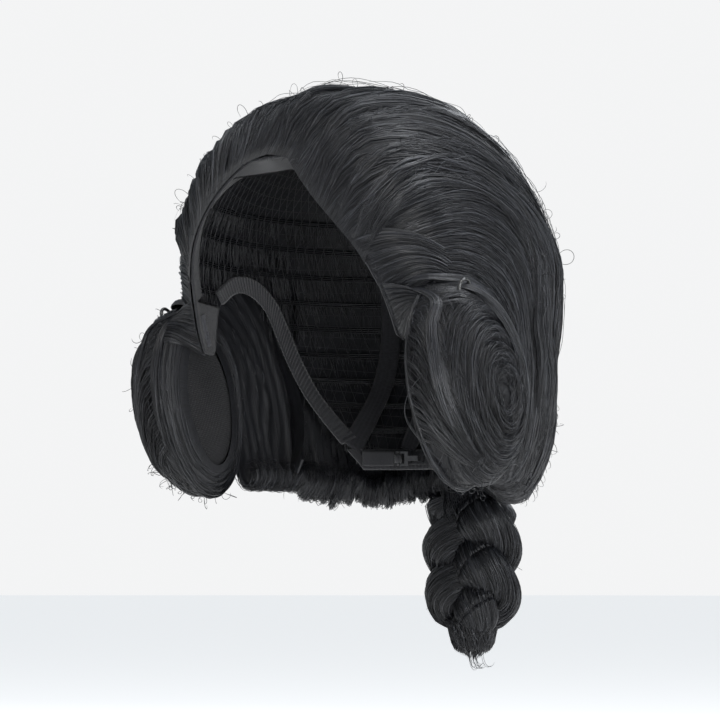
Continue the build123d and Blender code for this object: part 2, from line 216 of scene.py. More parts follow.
@lru_cache(None)
def head(grow):
    """The head form with its surface moved out by grow."""
    plain = np.array(side_profile(HEAD_HALF_WIDTH, HEAD_RISE, HEAD_WALL))
    grown = offset_points(plain, grow)
    grown[0] = (0.0, plain[0, 1] + grow)
    grown[-2:] = plain[-2:] + (grow, 0)
    return Form(grown, (HEAD_HALF_DEPTH + grow) / (HEAD_HALF_WIDTH + grow))


outer = Form(side_profile(HAIR_HALF_WIDTH, HAIR_RISE, HAIR_WALL),
             HAIR_HALF_DEPTH / HAIR_HALF_WIDTH)


def on_head(yz, grow, side):
    """Points on a grown head form at side-view points (y, z)."""
    yz = np.asarray(yz, float)
    form = head(grow)
    y, z = yz[..., 0], yz[..., 1]
    rise = (z - WIDEST_Z) / (form.top - WIDEST_Z)
    dome = 1 - (y / (form.widest * form.ratio)) ** 2 - rise ** 2
    radius = form.radius(np.minimum(z, WIDEST_Z))
    wall = 1 - (y / (radius * form.ratio)) ** 2
    x = np.where(z > WIDEST_Z, form.widest * np.sqrt(np.maximum(dome, 0)),
                 radius * np.sqrt(np.maximum(wall, 0)))
    return np.stack([side * x, y, z], -1)


# ---------------------------------------------------------------- mesh builders
def build(name, points, quads, uv, materials, tris=None, tones=None, flip=False):
    """A smooth mesh from points in millimetres, with one UV corner for each quad corner."""
    tris = np.zeros((0, 3), int) if tris is None else tris
    uv = np.reshape(uv, (-1, 4, 2))
    if flip:
        quads, tris, uv = quads[:, ::-1], tris[:, ::-1], uv[:, ::-1]
    points = np.asarray(points, float).reshape(-1, 3) * MM
    me = bpy.data.meshes.new(name)
    me.vertices.add(len(points))
    me.vertices.foreach_set("co", points.astype(np.float32).ravel())
    corners = np.concatenate([quads.ravel(), tris.ravel()])
    me.loops.add(len(corners))
    me.loops.foreach_set("vertex_index", corners.astype(np.int32))
    starts = np.concatenate([np.arange(len(quads)) * 4,
                             len(quads) * 4 + np.arange(len(tris)) * 3])
    me.polygons.add(len(starts))
    me.polygons.foreach_set("loop_start", starts.astype(np.int32))
    for material in materials:
        me.materials.append(material)
    if tones is not None:
        me.polygons.foreach_set("material_index", tones.astype(np.int32))
    me.polygons.foreach_set("use_smooth", np.full(len(starts), True))
    layer = me.uv_layers.new(name="OFBake")
    uv = np.vstack([uv.reshape(-1, 2), np.zeros((len(tris) * 3, 2))])
    layer.data.foreach_set("uv", uv.astype(np.float32).ravel())
    me.update(calc_edges=True)
    me.validate(verbose=False)
    ob = bpy.data.objects.new(name, me)
    bpy.context.scene.collection.objects.link(ob)
    return ob


def place(ob, replaces=None, body="cap"):
    """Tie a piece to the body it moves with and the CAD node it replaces."""
    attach(ob, body)
    if replaces:
        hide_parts(replaces)


def tube_arrays(points, normals, radius, tone, rows=None):
    """Three-sided tubes along curves (count, stations, 3), kept between two rows if given.

    Returns vertices, quads, end caps, the tones of both and the UV corners.
    """
    sides = 3
    count, whole = points.shape[:2]
    ahead = unit(np.gradient(points, axis=1))
    normals = unit(normals - (normals * ahead).sum(-1, keepdims=True) * ahead)
    across = np.cross(ahead, normals)
    angle = TURN * np.arange(sides) / sides + PI / 2
    ring = (np.cos(angle)[:, None] * normals[:, :, None, :]
            + np.sin(angle)[:, None] * across[:, :, None, :])
    verts = points[:, :, None, :] + radius[:, :, None, None] * ring
    first, last = rows or (0, whole - 1)
    verts = verts[:, first:last + 1]
    stations = last - first + 1
    index = np.arange(count * stations * sides).reshape(count, stations, sides)
    low, high = index[:, :-1], index[:, 1:]
    quads = np.stack([low, np.roll(low, -1, 2), np.roll(high, -1, 2), high], -1)
    # each fibre takes one of 64 columns of the UV map
    column = (np.arange(count) % 64)[:, None, None]
    row = np.linspace(0.01, 0.99, whole)[first:last + 1]
    v_low, v_high = row[None, :-1, None], row[None, 1:, None]
    near = (column + 0.1 + 0.8 * np.arange(sides) / sides) / 64
    far = (column + 0.1 + 0.8 * (np.arange(sides) + 1) / sides) / 64
    uv = np.stack([vec(near, v_low), vec(far, v_low), vec(far, v_high), vec(near, v_high)], -2)
    caps = [np.zeros((0, 3), int)]
    if first == 0:
        caps.append(index[:, 0, ::-1])
    if last == whole - 1:
        caps.append(index[:, -1])
    quad_tone = np.repeat(tone, (stations - 1) * sides)
    return (verts.reshape(-1, 3), quads.reshape(-1, 4), np.concatenate(caps), quad_tone,
            np.tile(tone, len(caps) - 1), uv.reshape(-1, 2))


def tubes(name, bundles, materials):
    """One mesh from bundles (points, normals, radius, tone[, rows])."""
    parts, base = [], 0
    for bundle in bundles:
        verts, quads, caps, *rest = tube_arrays(*bundle)
        parts.append((verts, quads + base, caps + base, *rest))
        base += len(verts)
    verts, quads, caps, quad_tone, cap_tone, uv = map(np.concatenate, zip(*parts))
    return build(name, verts, quads, uv, materials, caps,
                 np.concatenate([quad_tone, cap_tone]))


def strands(rand, points, normals, radius=0.20, tip=0.35, root=0.7,
            mix=(0.34, 0.33, 0.22, 0.11)):
    """A bundle of hairs that thin at root and tip. mix shares them out over the four tones."""
    count, stations = points.shape[:2]
    share = ramp(stations)
    taper = (np.minimum(root + (1 - root) * share / 0.1, 1)
             * np.minimum(tip + (1 - tip) * (1 - share) / 0.22, 1))
    thickness = radius * rand.uniform(0.75, 1.25, (count, 1)) * taper
    return points, normals, thickness, rand.choice(4, count, p=list(mix))


def thread(points, normals, radius, tone=0):
    """A bundle of one even thread."""
    return points[None], normals[None], np.full((1, 1), radius), np.array([tone])


def grid_faces(rows, columns, wrap_rows=False, wrap_columns=False):
    i = np.arange(rows * columns).reshape(rows, columns)
    if wrap_rows:
        i = np.vstack([i, i[:1]])
    if wrap_columns:
        i = np.hstack([i, i[:, :1]])
    return np.stack([i[:-1, :-1], i[1:, :-1], i[1:, 1:], i[:-1, 1:]], -1).reshape(-1, 4)


def grid_uv(rows, columns, u_from=0.0, u_to=1.0, v_from=0.0, v_to=1.0):
    i = vec(np.linspace(u_from, u_to, rows)[:, None], np.linspace(v_from, v_to, columns))
    return np.stack([i[:-1, :-1], i[1:, :-1], i[1:, 1:], i[:-1, 1:]], 2).reshape(-1, 4, 2)


def grid_rim(rows, columns):
    """The vertices round a grid's edge, and the next one for each."""
    i = np.arange(rows * columns).reshape(rows, columns)
    rim = np.concatenate([i[:, 0], i[-1, 1:], i[::-1, -1][1:], i[0, ::-1][1:-1]])
    return rim, np.roll(rim, -1)


def fan(centre, rim):
    """Triangles from one vertex to a closed ring."""
    return np.stack([np.full(len(rim), centre), np.roll(rim, -1), rim], -1)


def slab(name, points, normals, thick, material):
    """A closed strip round a grid of points. Its faces and rim have their own UV bands."""
    rows, columns = points.shape[:2]
    size = rows * columns
    half = normals * thick / 2
    verts = np.concatenate([(points + half).reshape(-1, 3), (points - half).reshape(-1, 3)])
    face = grid_faces(rows, columns)
    rim, after = grid_rim(rows, columns)
    edge = np.stack([rim, rim + size, after + size, after], -1)
    t = np.linspace(0.02, 0.98, len(rim) + 1)
    edge_uv = vec(np.stack([t[:-1], t[:-1], t[1:], t[1:]], -1), [0.485, 0.515, 0.515, 0.485])
    uv = [grid_uv(rows, columns, 0.02, 0.98, 0.02, 0.47),
          grid_uv(rows, columns, 0.02, 0.98, 0.53, 0.98)[:, ::-1], edge_uv]
    return build(name, verts, np.vstack([face, (face + size)[:, ::-1], edge]),
                 np.concatenate(uv), [material])


# ---------------------------------------------------------------- materials
def principled(name, color, rough, spec, sheen=0.0):
    m = bpy.data.materials.new(name)
    m.use_nodes = True
    shader = m.node_tree.nodes["Principled BSDF"]
    shader.inputs["Base Color"].default_value = (*color, 1)
    shader.inputs["Roughness"].default_value = rough
    shader.inputs["Specular IOR Level"].default_value = spec
    shader.inputs["Sheen Weight"].default_value = sheen
    m.diffuse_color = (*color, 1)
    return m, shader


def node(m, kind, **values):
    """A shader node with its inputs, or else its properties, set by name."""
    made = m.node_tree.nodes.new(kind)
    for key, value in values.items():
        if key in made.inputs:
            made.inputs[key].default_value = value
        else:
            setattr(made, key, value)
    return made


def patterned(name, dark, light, rough, noise, coords="UV", scale=(1, 1, 1), detail=4.0,
              bump=0.3, distance=0.0004, spec=0.4, weave=None, rough_var=0.12, sheen=0.0):
    """A fibre or fabric: stretched noise drives colour, roughness and bump.

    weave gives the scales of two crossed sets of bands that are added to the bump.
    """
    m, shader = principled(name, light, rough, spec, sheen)
    link = m.node_tree.links.new
    place_at = node(m, "ShaderNodeTexCoord").outputs[coords]
    stretch = node(m, "ShaderNodeMapping", Scale=scale)
    link(place_at, stretch.inputs["Vector"])
    grain = node(m, "ShaderNodeTexNoise", Scale=noise, Detail=detail, Roughness=0.65)
    link(stretch.outputs["Vector"], grain.inputs["Vector"])
    ramp_node = node(m, "ShaderNodeValToRGB")
    stops = ramp_node.color_ramp.elements
    stops[0].position, stops[1].position = 0.36, 0.66
    stops[0].color, stops[1].color = (*dark, 1), (*light, 1)
    link(grain.outputs["Fac"], ramp_node.inputs["Fac"])
    link(ramp_node.outputs["Color"], shader.inputs["Base Color"])
    if rough_var:
        spread = node(m, "ShaderNodeMapRange")
        spread.inputs["To Min"].default_value = rough - rough_var
        spread.inputs["To Max"].default_value = rough + rough_var
        link(grain.outputs["Fac"], spread.inputs["Value"])
        link(spread.outputs["Result"], shader.inputs["Roughness"])
    if not bump:
        return m
    height = grain.outputs["Fac"]
    if weave:
        warp = node(m, "ShaderNodeTexWave", Scale=weave[0], Distortion=0.6)
        weft = node(m, "ShaderNodeTexWave", Scale=weave[1], Distortion=0.6)
        weft.bands_direction = "Y"
        for wave in (warp, weft):
            link(place_at, wave.inputs["Vector"])
        crossed = node(m, "ShaderNodeMath", operation="MULTIPLY")
        link(warp.outputs["Fac"], crossed.inputs[0])
        link(weft.outputs["Fac"], crossed.inputs[1])
        total = node(m, "ShaderNodeMath", operation="ADD")
        link(crossed.outputs[0], total.inputs[0])
        link(grain.outputs["Fac"], total.inputs[1])
        height = total.outputs[0]
    relief = node(m, "ShaderNodeBump", Strength=bump, Distance=distance)
    link(height, relief.inputs["Height"])
    link(relief.outputs["Normal"], shader.inputs["Normal"])
    return m


HAIR_TONES = [
    patterned(f"hair_fibre_{name}", dark, light, rough, noise=1.0, scale=(64, 5, 1), detail=2,
              bump=0, spec=spec, rough_var=0)
    for name, dark, light, rough, spec in (
        ("deep", (0.0020, 0.0020, 0.0026), (0.0045, 0.0046, 0.0058), 0.46, 0.28),
        ("dark", (0.0035, 0.0036, 0.0045), (0.0075, 0.0078, 0.0098), 0.42, 0.34),
        ("mid", (0.0060, 0.0062, 0.0078), (0.0130, 0.0136, 0.0168), 0.40, 0.40),
        ("lit", (0.0100, 0.0104, 0.0128), (0.0240, 0.0252, 0.0305), 0.37, 0.48),
    )]
hair_base, braid_base = [
    patterned(name, dark=(0.0016, 0.0016, 0.0020), light=light, rough=0.52, noise=1.0,
              scale=(columns, 5, 1), detail=5, bump=0.6, distance=0.0005, spec=0.28, rough_var=0)
    for name, light, columns in (("hair_mass", (0.0090, 0.0094, 0.0118), 420),
                                 ("braid_mass", (0.0090, 0.0094, 0.0116), 90))]
net_mat, _ = principled("net_thread", color=(0.02, 0.02, 0.022), rough=0.55, spec=0.35)
elastic_mat = patterned(
    "woven_elastic", dark=(0.004, 0.004, 0.005), light=(0.018, 0.018, 0.021), rough=0.70,
    spec=0.25, scale=(60, 8, 1), noise=4, bump=0.5, distance=0.0003, weave=(90, 14), sheen=0.2)
lace_mat = patterned(
    "lace_ribbon", dark=(0.004, 0.004, 0.005), light=(0.015, 0.015, 0.018), rough=0.75,
    spec=0.2, scale=(120, 16, 1), noise=3, bump=0.5, distance=0.0003, weave=(120, 20), sheen=0.1)
skin_lace = patterned(
    "parting_lace", dark=(0.33, 0.22, 0.16), light=(0.50, 0.36, 0.27), rough=0.7,
    scale=(80, 40, 1), noise=2, bump=0.5, distance=0.0002, weave=(60, 30))
weft_mat = patterned(
    "weft_stitch", dark=(0.008, 0.008, 0.009), light=(0.03, 0.03, 0.034), rough=0.6,
    scale=(500, 3, 1), noise=1, bump=0.6)
label_mat = patterned(
    "woven_label", dark=(0.55, 0.55, 0.52), light=(0.74, 0.74, 0.71), rough=0.75,
    scale=(60, 60, 1), noise=3, bump=0.4, distance=0.0002, weave=(70, 70))
pad_mat = patterned(
    "knit_pad", dark=(0.003, 0.003, 0.004), light=(0.009, 0.009, 0.010), rough=0.85, spec=0.15,
    scale=(60, 60, 1), noise=2, bump=0.8, distance=0.0006, weave=(34, 34), sheen=0.05)
nylon_mat = patterned(
    "black_nylon", dark=(0.010, 0.010, 0.011), light=(0.02, 0.02, 0.022), rough=0.38,
    coords="Object", noise=900, bump=0.1, distance=0.0001, spec=0.5)
stay_mat = patterned(
    "clear_stay", dark=(0.05, 0.05, 0.055), light=(0.09, 0.09, 0.10), rough=0.30,
    coords="Object", noise=600, bump=0.08, distance=0.0001, spec=0.5)
lacquer_mat = patterned(
    "lacquered_wire", dark=(0.006, 0.006, 0.006), light=(0.020, 0.020, 0.020), rough=0.28,
    coords="Object", noise=700, bump=0.15, distance=0.0001, spec=0.6)
tie_mat = patterned(
    "thread_wrap", dark=(0.010, 0.010, 0.010), light=(0.035, 0.035, 0.037), rough=0.6,
    scale=(140, 3, 1), noise=1, bump=0.7)


def hair(name, bundles, body="cap"):
    place(tubes(name, bundles, HAIR_TONES), body=body)


def hair_sheet(name, points, flip=False, uv_width=1.0, replaces=None):
    """The solid surface that lies under fibres, over a grid of points."""
    rows, columns = points.shape[:2]
    ob = build(name, points, grid_faces(rows, columns), grid_uv(rows, columns, 0, uv_width),
               [hair_base], flip=flip)
    place(ob, replaces)


# ---------------------------------------------------------------- the flow of the main sheet
AXIS_Y, AXIS_Z = -14.0, 0.0        # the ear-to-ear axis that the main sheet turns about
HEAD_MIDDLE = np.array([0.0, 0.0, 30.0])
MAIN_SHARE = 0.70                  # share of the hairline, from the peak, that feeds the sheet


def hairline_curve(yz, grow, step):
    edge = on_head(yz, grow, 1)
    edge[0, 0] = 0.0
    return dense(np.vstack([edge[::step], edge[-1:]]), 800)


hairline = hairline_curve(dense(FRONT, 500), 2.2, 20)
hairline_edge = hairline_curve(offset_points(dense(FRONT, 60), -0.9), 1.5, 2)


def shared_sway(across, down):
    """Whole locks that meander together, in millimetres across the flow."""
    # amplitude, waves across, waves down, phase
    waves = ((2.0, 6.3, 1.7, 0.1), (1.7, 11.7, 2.6, 0.37), (1.2, 19.0, 3.9, 0.71),
             (2.4, 2.1, 1.1, 0.55))
    return sum(size * np.sin(TURN * (wide * across + long * down + phase))
               for size, wide, long, phase in waves)


def main_flow(across, stations, side, sway=0.0, lift=0.0, drift=0.0):
    """Points and normals of curves from the hairline over the crown to the nape.

    across runs from 0 at the part to 1 at the temple. sway moves a curve sideways in
    millimetres, drift moves it in units of across, and lift raises it off the hair form.
    """
    across = np.asarray(across, float)[:, None]
    down = ramp(stations)
    start = along(hairline_edge, np.clip(MAIN_SHARE * across[:, 0], 0, 1))
    above = outer.hit(HEAD_MIDDLE, start - HEAD_MIDDLE)
    start_scale = (np.linalg.norm(start - HEAD_MIDDLE, axis=1)
                   / np.linalg.norm(above - HEAD_MIDDLE, axis=1))[:, None]
    x_start = above[:, 0][:, None]
    # angles round the ear-to-ear axis: 0 looks forward, 90 degrees up, 180 back
    angle_start = np.arctan2(above[:, 2] - AXIS_Z, -(above[:, 1] - AXIS_Y))[:, None]
    angle_end = np.radians(207.5 + 25.0 * across.clip(0, 1.05) ** 2.2) if np.ndim(drift) == 0 \
        else np.radians(207.5 + 25.0 * np.clip(across + drift, 0, 1.05) ** 2.2)
    moved = np.clip(across + drift, 0, 1.05)
    x_middle = 1.0 + 90.0 * np.sin(np.clip(moved, 0, 1) * PI / 2 * 0.985) ** 0.95
    x_end = 1.0 + 80.0 * moved ** 0.92
    angle = angle_start + (angle_end - angle_start) * down
    first = np.sin(np.clip(down / 0.48, 0, 1) * PI / 2) ** 1.1
    second = 1 - np.cos(np.clip((down - 0.48) / 0.52, 0, 1) * PI / 2)
    x = x_start + (x_middle - x_start) * first + (x_end - x_middle) * second
    sway = (sway + shared_sway(across, down)) * smooth(down / 0.08)
    x = np.clip(x + sway * (1 - 0.88 * smooth((np.abs(x) - 74) / 14)), 0.3, 91.5)
    points = outer.hit(vec(x, AXIS_Y, AXIS_Z), vec(0.0, -np.cos(angle), np.sin(angle)))
    # rise from the hairline to the hair form
    scale = start_scale + (1 - start_scale) * smooth(down / 0.135) ** 0.8
    points = HEAD_MIDDLE + (points - HEAD_MIDDLE) * scale[..., None]
    # keep the first stretch outside the cap
    count = int((down < 0.22).sum())
    reach = points[:, :count] - HEAD_MIDDLE
    low, high = [np.linalg.norm(head(grow).hit(HEAD_MIDDLE, reach) - HEAD_MIDDLE, axis=-1)
                 for grow in (1.6, 3.4)]
    least = low + (high - low) * smooth(down[:, :count] / 0.05)
    push = np.maximum(1.0, least / np.linalg.norm(reach, axis=-1))
    points[:, :count] = HEAD_MIDDLE + reach * push[..., None]
    normals = outer.normal(points)
    return mirror(lifted(points, normals, lift), side), mirror(normals, side)


def big_waves(across, down, seed):
    """Soft waves that the whole sheet shares, in millimetres."""
    rand = np.random.default_rng(seed)
    height = 0
    for wide, long, size in ((1.3, 2.2, 1.1), (3.1, 1.6, 0.9), (5.3, 3.0, 0.7), (8.7, 2.0, 0.5)):
        phase = TURN * (wide * across + long * down + rand.random())
        height = height + size * np.sin(
            phase + 1.3 * np.sin(TURN * (0.8 * down + rand.random())))
    return height * smooth(down / 0.12)


def lock_field(across, down, count, seed, depth):
    """Separate locks that wander across the flow: height from about -depth to 0."""
    rand = np.random.default_rng(seed)
    place_in = across * count
    for size, wide, long in ((0.42, 0.7, 1.1), (0.28, 1.9, 2.3), (0.14, 4.1, 3.7)):
        place_in = place_in + size * np.sin(
            TURN * (wide * across + long * down + rand.random()))
    strength = 0.65 + 0.35 * np.sin(TURN * (0.37 * np.floor(place_in) + 0.9 * down))
    return -depth * ridge(place_in) ** 2.2 * strength * smooth(down / 0.06)


def sheet_height(across, down, seed):
    return (big_waves(across, down, seed) + lock_field(across, down, 13, seed + 1, 2.0)
            + lock_field(across, down, 37, seed + 2, 0.8))


def add_curl(points, normals, count, radius, turn, scatter=0.0):
    """Carry curves on round a curl towards the head."""
    ahead = unit(unit(points[:, -1] - points[:, -2]) + scatter)[:, None]
    radius = np.reshape(radius, (-1, 1, 1))
    angle = ramp(count)[..., None] * np.reshape(turn, (-1, 1, 1))
    curl = (points[:, -1:] + ahead * radius * np.sin(angle)
            - normals[:, -1:] * radius * (1 - np.cos(angle)))
    return (np.concatenate([points, curl[:, 1:]], 1),
            np.concatenate([normals, np.repeat(normals[:, -1:], count - 1, 1)], 1))


def add_loose_curl(rand, points, normals, count, radius, turn):
    """The same with a random direction, and with radius and turn drawn from ranges."""
    size = len(points)
    scatter = rand.normal(0, 0.12, (size, 3))
    return add_curl(points, normals, count, rand.uniform(*radius, size),
                    rand.uniform(*turn, size), scatter)


def curl_points(root, ahead, out, radius, angle, creep, depth):
    """Small curls that start along ahead, bend outwards and creep forward as they turn."""
    return (root[:, None] + ahead[:, None] * (radius * np.sin(angle) + creep * angle)[..., None]
            + out[:, None] * (radius * (1 - np.cos(angle)) * depth)[..., None])


# ---------------------------------------------------------------- main sheet, cut up later
def sheet_grid(side, seed):
    """The solid surface of one half, with its lower edge and its temple edge turned in."""
    across, down = np.linspace(0, 1, 150), ramp(120)
    height = sheet_height(across[:, None], down, seed)
    points, normals = main_flow(across, 120, side,
                                lift=(height - 1.6) * smooth(down / 0.10) + 0.15)
    points, _ = add_curl(points, normals, 10, radius=7.0, turn=3.4)
    edge = points[-1]
    wall = mirror(head(3.4).hit(HEAD_MIDDLE, mirror(edge, side) - HEAD_MIDDLE), side)
    inward = [(edge * (1 - share) + wall * share)[None] for share in (0.25, 0.55, 0.9)]
    return np.concatenate([points] + inward)


def sheet_strands(side, seed):
    """The fibres of one half: an even cover, then locks that cross it at a slant."""
    rand = np.random.default_rng(seed)
    stations = 34
    down = ramp(stations)
    rise = smooth(down / 0.07)
    curl = dict(count=9, radius=(4.0, 9.5), turn=(2.2, 5.2))

    count = 2000
    across = rand.random(count) ** 0.97
    sway = (wobble(rand, count, stations, 0.7, 1.9, 4.2)
            * rand.uniform(0.4, 2.6, (count, 1)))
    lift = (sheet_height(across[:, None], down, seed) + rand.normal(0, 0.35, (count, 1))
            + 0.5 * wobble(rand, count, stations, 2.0, 5.0)) * rise + 0.35
    rand.random(count)      # unused, but the draws after it depend on its place
    points, normals = main_flow(across, stations, side, sway, lift)
    cover = strands(rand, *add_loose_curl(rand, points, normals, **curl))

    locks, per_lock = 30, 34
    count = locks * per_lock

    def per_fibre(low, high):
        return np.repeat(rand.uniform(low, high, locks), per_lock)[:, None]

    across = per_fibre(0.02, 0.97)
    slant = per_fibre(-0.11, 0.11)
    width = per_fibre(0.010, 0.026)
    offset = rand.uniform(-1, 1, (count, 1))
    bulge = per_fibre(0.8, 2.2)
    shape = 0.35 + 0.65 * np.sin(PI * np.clip(down * 0.92 + 0.05, 0, 1))
    drift = slant * down + offset * width * shape
    lift = (sheet_height(np.clip(across + drift, 0, 1), down, seed) * 0.6
            + bulge * (1 - offset ** 2) * smooth(down / 0.15)
            + rand.normal(0, 0.2, (count, 1)) * rise + 0.4)
    sway = 0.5 * wobble(rand, count, stations, 1.5, 4)
    points, normals = main_flow(across[:, 0], stations, side, sway, lift, drift)
    over = strands(rand, *add_loose_curl(rand, points, normals, **curl), radius=0.21)
    return tuple(np.concatenate(pair) for pair in zip(cover, over))


SHEET_SEEDS = {1: 30, -1: 60}
SHEET_GRIDS = {side: sheet_grid(side, seed) for side, seed in SHEET_SEEDS.items()}
SHEET_STRANDS = {side: sheet_strands(side, seed) for side, seed in SHEET_SEEDS.items()}


# ---------------------------------------------------------------- temple and side hair
def sweep_flow(share, stations, side, lift):
    """Temple hair from the hairline at share, over a raised middle, into the top of the roll."""
    start = along(hairline, share)
    gather = np.array([86.0, -34.0, 39.0]) + (share - 0.8)[:, None] * np.array([-6, -16, -42])
    middle = (start + gather) / 2
    middle = (middle + (outer.hit(HEAD_MIDDLE, middle - HEAD_MIDDLE) - middle) * 0.55
              + np.array([0, 0, 5.0]))
    inward = np.array([2.0, 7.0, -14.0])
    t = ramp(stations)[..., None]
    points = bow(start[:, None], middle[:, None], gather[:, None], np.clip(t * 1.25, 0, 1))
    points = points + inward * np.clip((t - 0.8) / 0.2, 0, 1) ** 1.4
    normals = outer.normal(points)
    points = lifted(points, normals, lift * smooth(t[..., 0] / 0.12) + 0.3)
    return mirror(points, side), mirror(normals, side)


SIDE_TOP_CURVE, SIDE_LOW_CURVE = dense(SIDE_TOP, 400), dense(SIDE_LOW, 400)


def side_flow(across, stations, side, lift, sway=0.0):
    """Side hair from the temple, behind the roll, to the nape. across is 0 at its upper edge."""
    across = across[:, None]
    down = ramp(stations)
    yz = (along(SIDE_TOP_CURVE, down[0]) * (1 - across[..., None])
          + along(SIDE_LOW_CURVE, down[0]) * across[..., None])
    ahead = unit(np.gradient(yz, axis=1))
    yz = lifted(yz, np.stack([-ahead[..., 1], ahead[..., 0]], -1), sway * smooth(down / 0.1))
    origin = vec(0.0, yz[..., 0], yz[..., 1])
    points, inner = outer.hit(origin, OUT), head(1.5).hit(origin, OUT)
    rise = smooth(down / (0.17 + 0.09 * smooth((across - 0.3) / 0.5))) ** 0.9
    points = inner + (points - inner) * (0.04 + 0.96 * rise)[..., None]
    normals = outer.normal(points)
    points = lifted(points, normals, lift * smooth(down / 0.14) + 0.3)
    return mirror(points, side), mirror(normals, side)


# ---------------------------------------------------------------- side rolls
def roll_surface(rho, phi, side, lift=0.0):
    """The domed oval of a roll.

    rho is 0 at its eye and 1 at its rim, and beyond 1 it tucks in against the head. phi is
    measured from the back edge upwards.
    """
    inner = np.minimum(rho, 1.0)
    tuck = np.clip(rho - 1.0, 0, 1) * PI / 2
    fold = 1 - np.cos(tuck)
    x = (ROLL_RIM_X + ROLL_DOME * np.sqrt(np.maximum(1 - inner ** 2.6, 0))
         - 4.0 * np.exp(-(rho / 0.16) ** 2) - 9.0 * np.sin(tuck))
    back = (ROLL_HALF_DEPTH * inner * (1 - 0.50 * fold) * np.cos(phi)
            * (1 + 0.05 * np.sin(phi)))
    up = (ROLL_HALF_HEIGHT * inner * (1 - 0.34 * fold) * np.sin(phi)
          - 7.0 * (1 - inner) ** 1.2)
    points = (ROLL_CENTRE + back[..., None] * ROLL_BACK + up[..., None] * ROLL_UP
              + (x - ROLL_CENTRE[0])[..., None] * OUT)
    half_sizes = np.array([38.0, ROLL_HALF_DEPTH, ROLL_HALF_HEIGHT])
    normals = unit((points - (ROLL_CENTRE - 14.0 * OUT)) / half_sizes ** 2 * 1000)
    return mirror(lifted(points, normals, lift), side), mirror(normals, side)


def roll_height(rho, phi, seed):
    """Grooves that wind round the roll, in millimetres."""
    rand = np.random.default_rng(seed)
    coarse = (rho * 5.2 + phi / TURN + 0.20 * np.sin(2 * phi + 6 * rand.random())
              + 0.12 * np.sin(3 * phi + 6 * rand.random()))
    fine = (rho * 17 + phi / TURN + 0.3 * np.sin(3 * phi + 6 * rand.random())
            + 0.2 * np.sin(5 * phi))
    return -2.2 * ridge(coarse) ** 2 - 0.7 * ridge(fine) ** 2 + 0.8 * np.sin(phi * 2 + 4 * rho)


def roll_mass(side, label, seed):
    """The closed surface under a roll's fibres."""
    rings, spokes = 64, 120
    rho = np.linspace(0.012, 1.95, rings)[None, :]
    phi = np.linspace(0, TURN, spokes, endpoint=False)[:, None]
    points, _ = roll_surface(rho, phi, side, roll_height(rho, phi, seed) * (rho < 1.2) - 1.4)
    verts = np.vstack([points.reshape(-1, 3), points[:, 0].mean(0)[None]])
    tris = fan(spokes * rings, np.arange(spokes) * rings)
    ob = build(f"{label}_side_roll_mass", verts, grid_faces(spokes, rings, wrap_rows=True),
               grid_uv(spokes + 1, rings), [hair_base], tris, flip=side > 0)
    place(ob, f"{label}_side_roll")


def wound_strands(rand, side, seed):
    """Fibres that wind round the roll, many of them from its top."""
    count, stations = 900, 54
    t = ramp(stations)
    rho = np.where(rand.random(count) < 0.24, rand.uniform(1.0, 1.8, count),
                   np.sqrt(rand.uniform(0.015, 1.12, count)))
    start = rand.uniform(0, TURN, count)
    at_top = rand.random(count) < 0.45
    start = np.where(at_top, PI / 2 + rand.normal(0, 0.25, count), start)
    phi = start[:, None] - rand.uniform(1.6, 4.6, count)[:, None] * t
    rho = (rho[:, None] * (1 - rand.uniform(-0.02, 0.16, (count, 1)) * t)
           + 0.014 * wobble(rand, count, stations, 1.5, 3.5))
    rho = np.clip(rho, 0.02, 1.85)
    lift = (roll_height(rho, phi, seed) + rand.normal(0, 0.3, (count, 1))
            + 0.35 * wobble(rand, count, stations, 3, 7))
    return strands(rand, *roll_surface(rho, phi, side, lift))


def rim_fuzz(rand, side):
    """Small curls round the rim and at the foot."""
    count = 90
    phi = np.where(rand.random(count) < 0.6, rand.uniform(-2.4, -0.6, count),
                   rand.uniform(0, TURN, count))
    root, normal = roll_surface(rand.uniform(0.75, 1.1, count), phi, side, 0.5)
    out = unit(normal + rand.normal(0, 0.6, normal.shape))
    ahead = unit(np.cross(normal, rand.normal(0, 1, normal.shape)))
    angle = ramp(22) * rand.uniform(2.5, 6.0, (count, 1))
    radius = rand.uniform(1.2, 4.0, (count, 1))
    points = curl_points(root, ahead, out, radius, angle, creep=0.6, depth=0.8)
    return strands(rand, points, normal[:, None], radius=0.15)


def temple_strands(rand, side):
    """Temple hair drawn back to the roll."""
    count, stations = 420, 24
    share = rand.uniform(0.60, 0.995, count)
    lift = (-ridge(share * 34)[:, None] ** 2 + rand.normal(0, 0.35, (count, 1))
            + 0.35 * wobble(rand, count, stations, 1, 3))
    return strands(rand, *sweep_flow(share, stations, side, lift), radius=0.19, root=0.5)


def foot_loop(rand):
    """Two loose hairs that hang in front of the left roll's foot."""
    first = dense([(95, -63, -11), (90, -69, -21), (88, -69, -32), (92, -63, -43),
                   (97, -51, -55)], 40)[None]
    second = first + np.array([1.2, -1.8, -1.0]) * np.sin(PI * ramp(40))[..., None]
    points, normal, thickness, _ = 0, OUT, None, None
    points = np.concatenate([first, second])
    share = ramp(40)
    taper = (np.minimum(0.7 + 0.3 * share / 0.1, 1)
             * np.minimum(0.35 + 0.65 * (1 - share) / 0.22, 1))
    thickness = 0.22 * rand.uniform(0.75, 1.25, (2, 1)) * taper
    return points, normal, thickness, np.array([0, 1])


# Locks that lie over the roll: fibres, phi from and to, rho from and to, half width, height
ROLL_LOCKS = (
    (90, 1.75, -0.35, 1.10, 0.58, 0.08, 3.4),
    (90, 1.95, 4.1, 1.12, 0.84, 0.09, 2.6),
    (60, 1.60, 0.2, 1.05, 0.35, 0.06, 2.2),
)


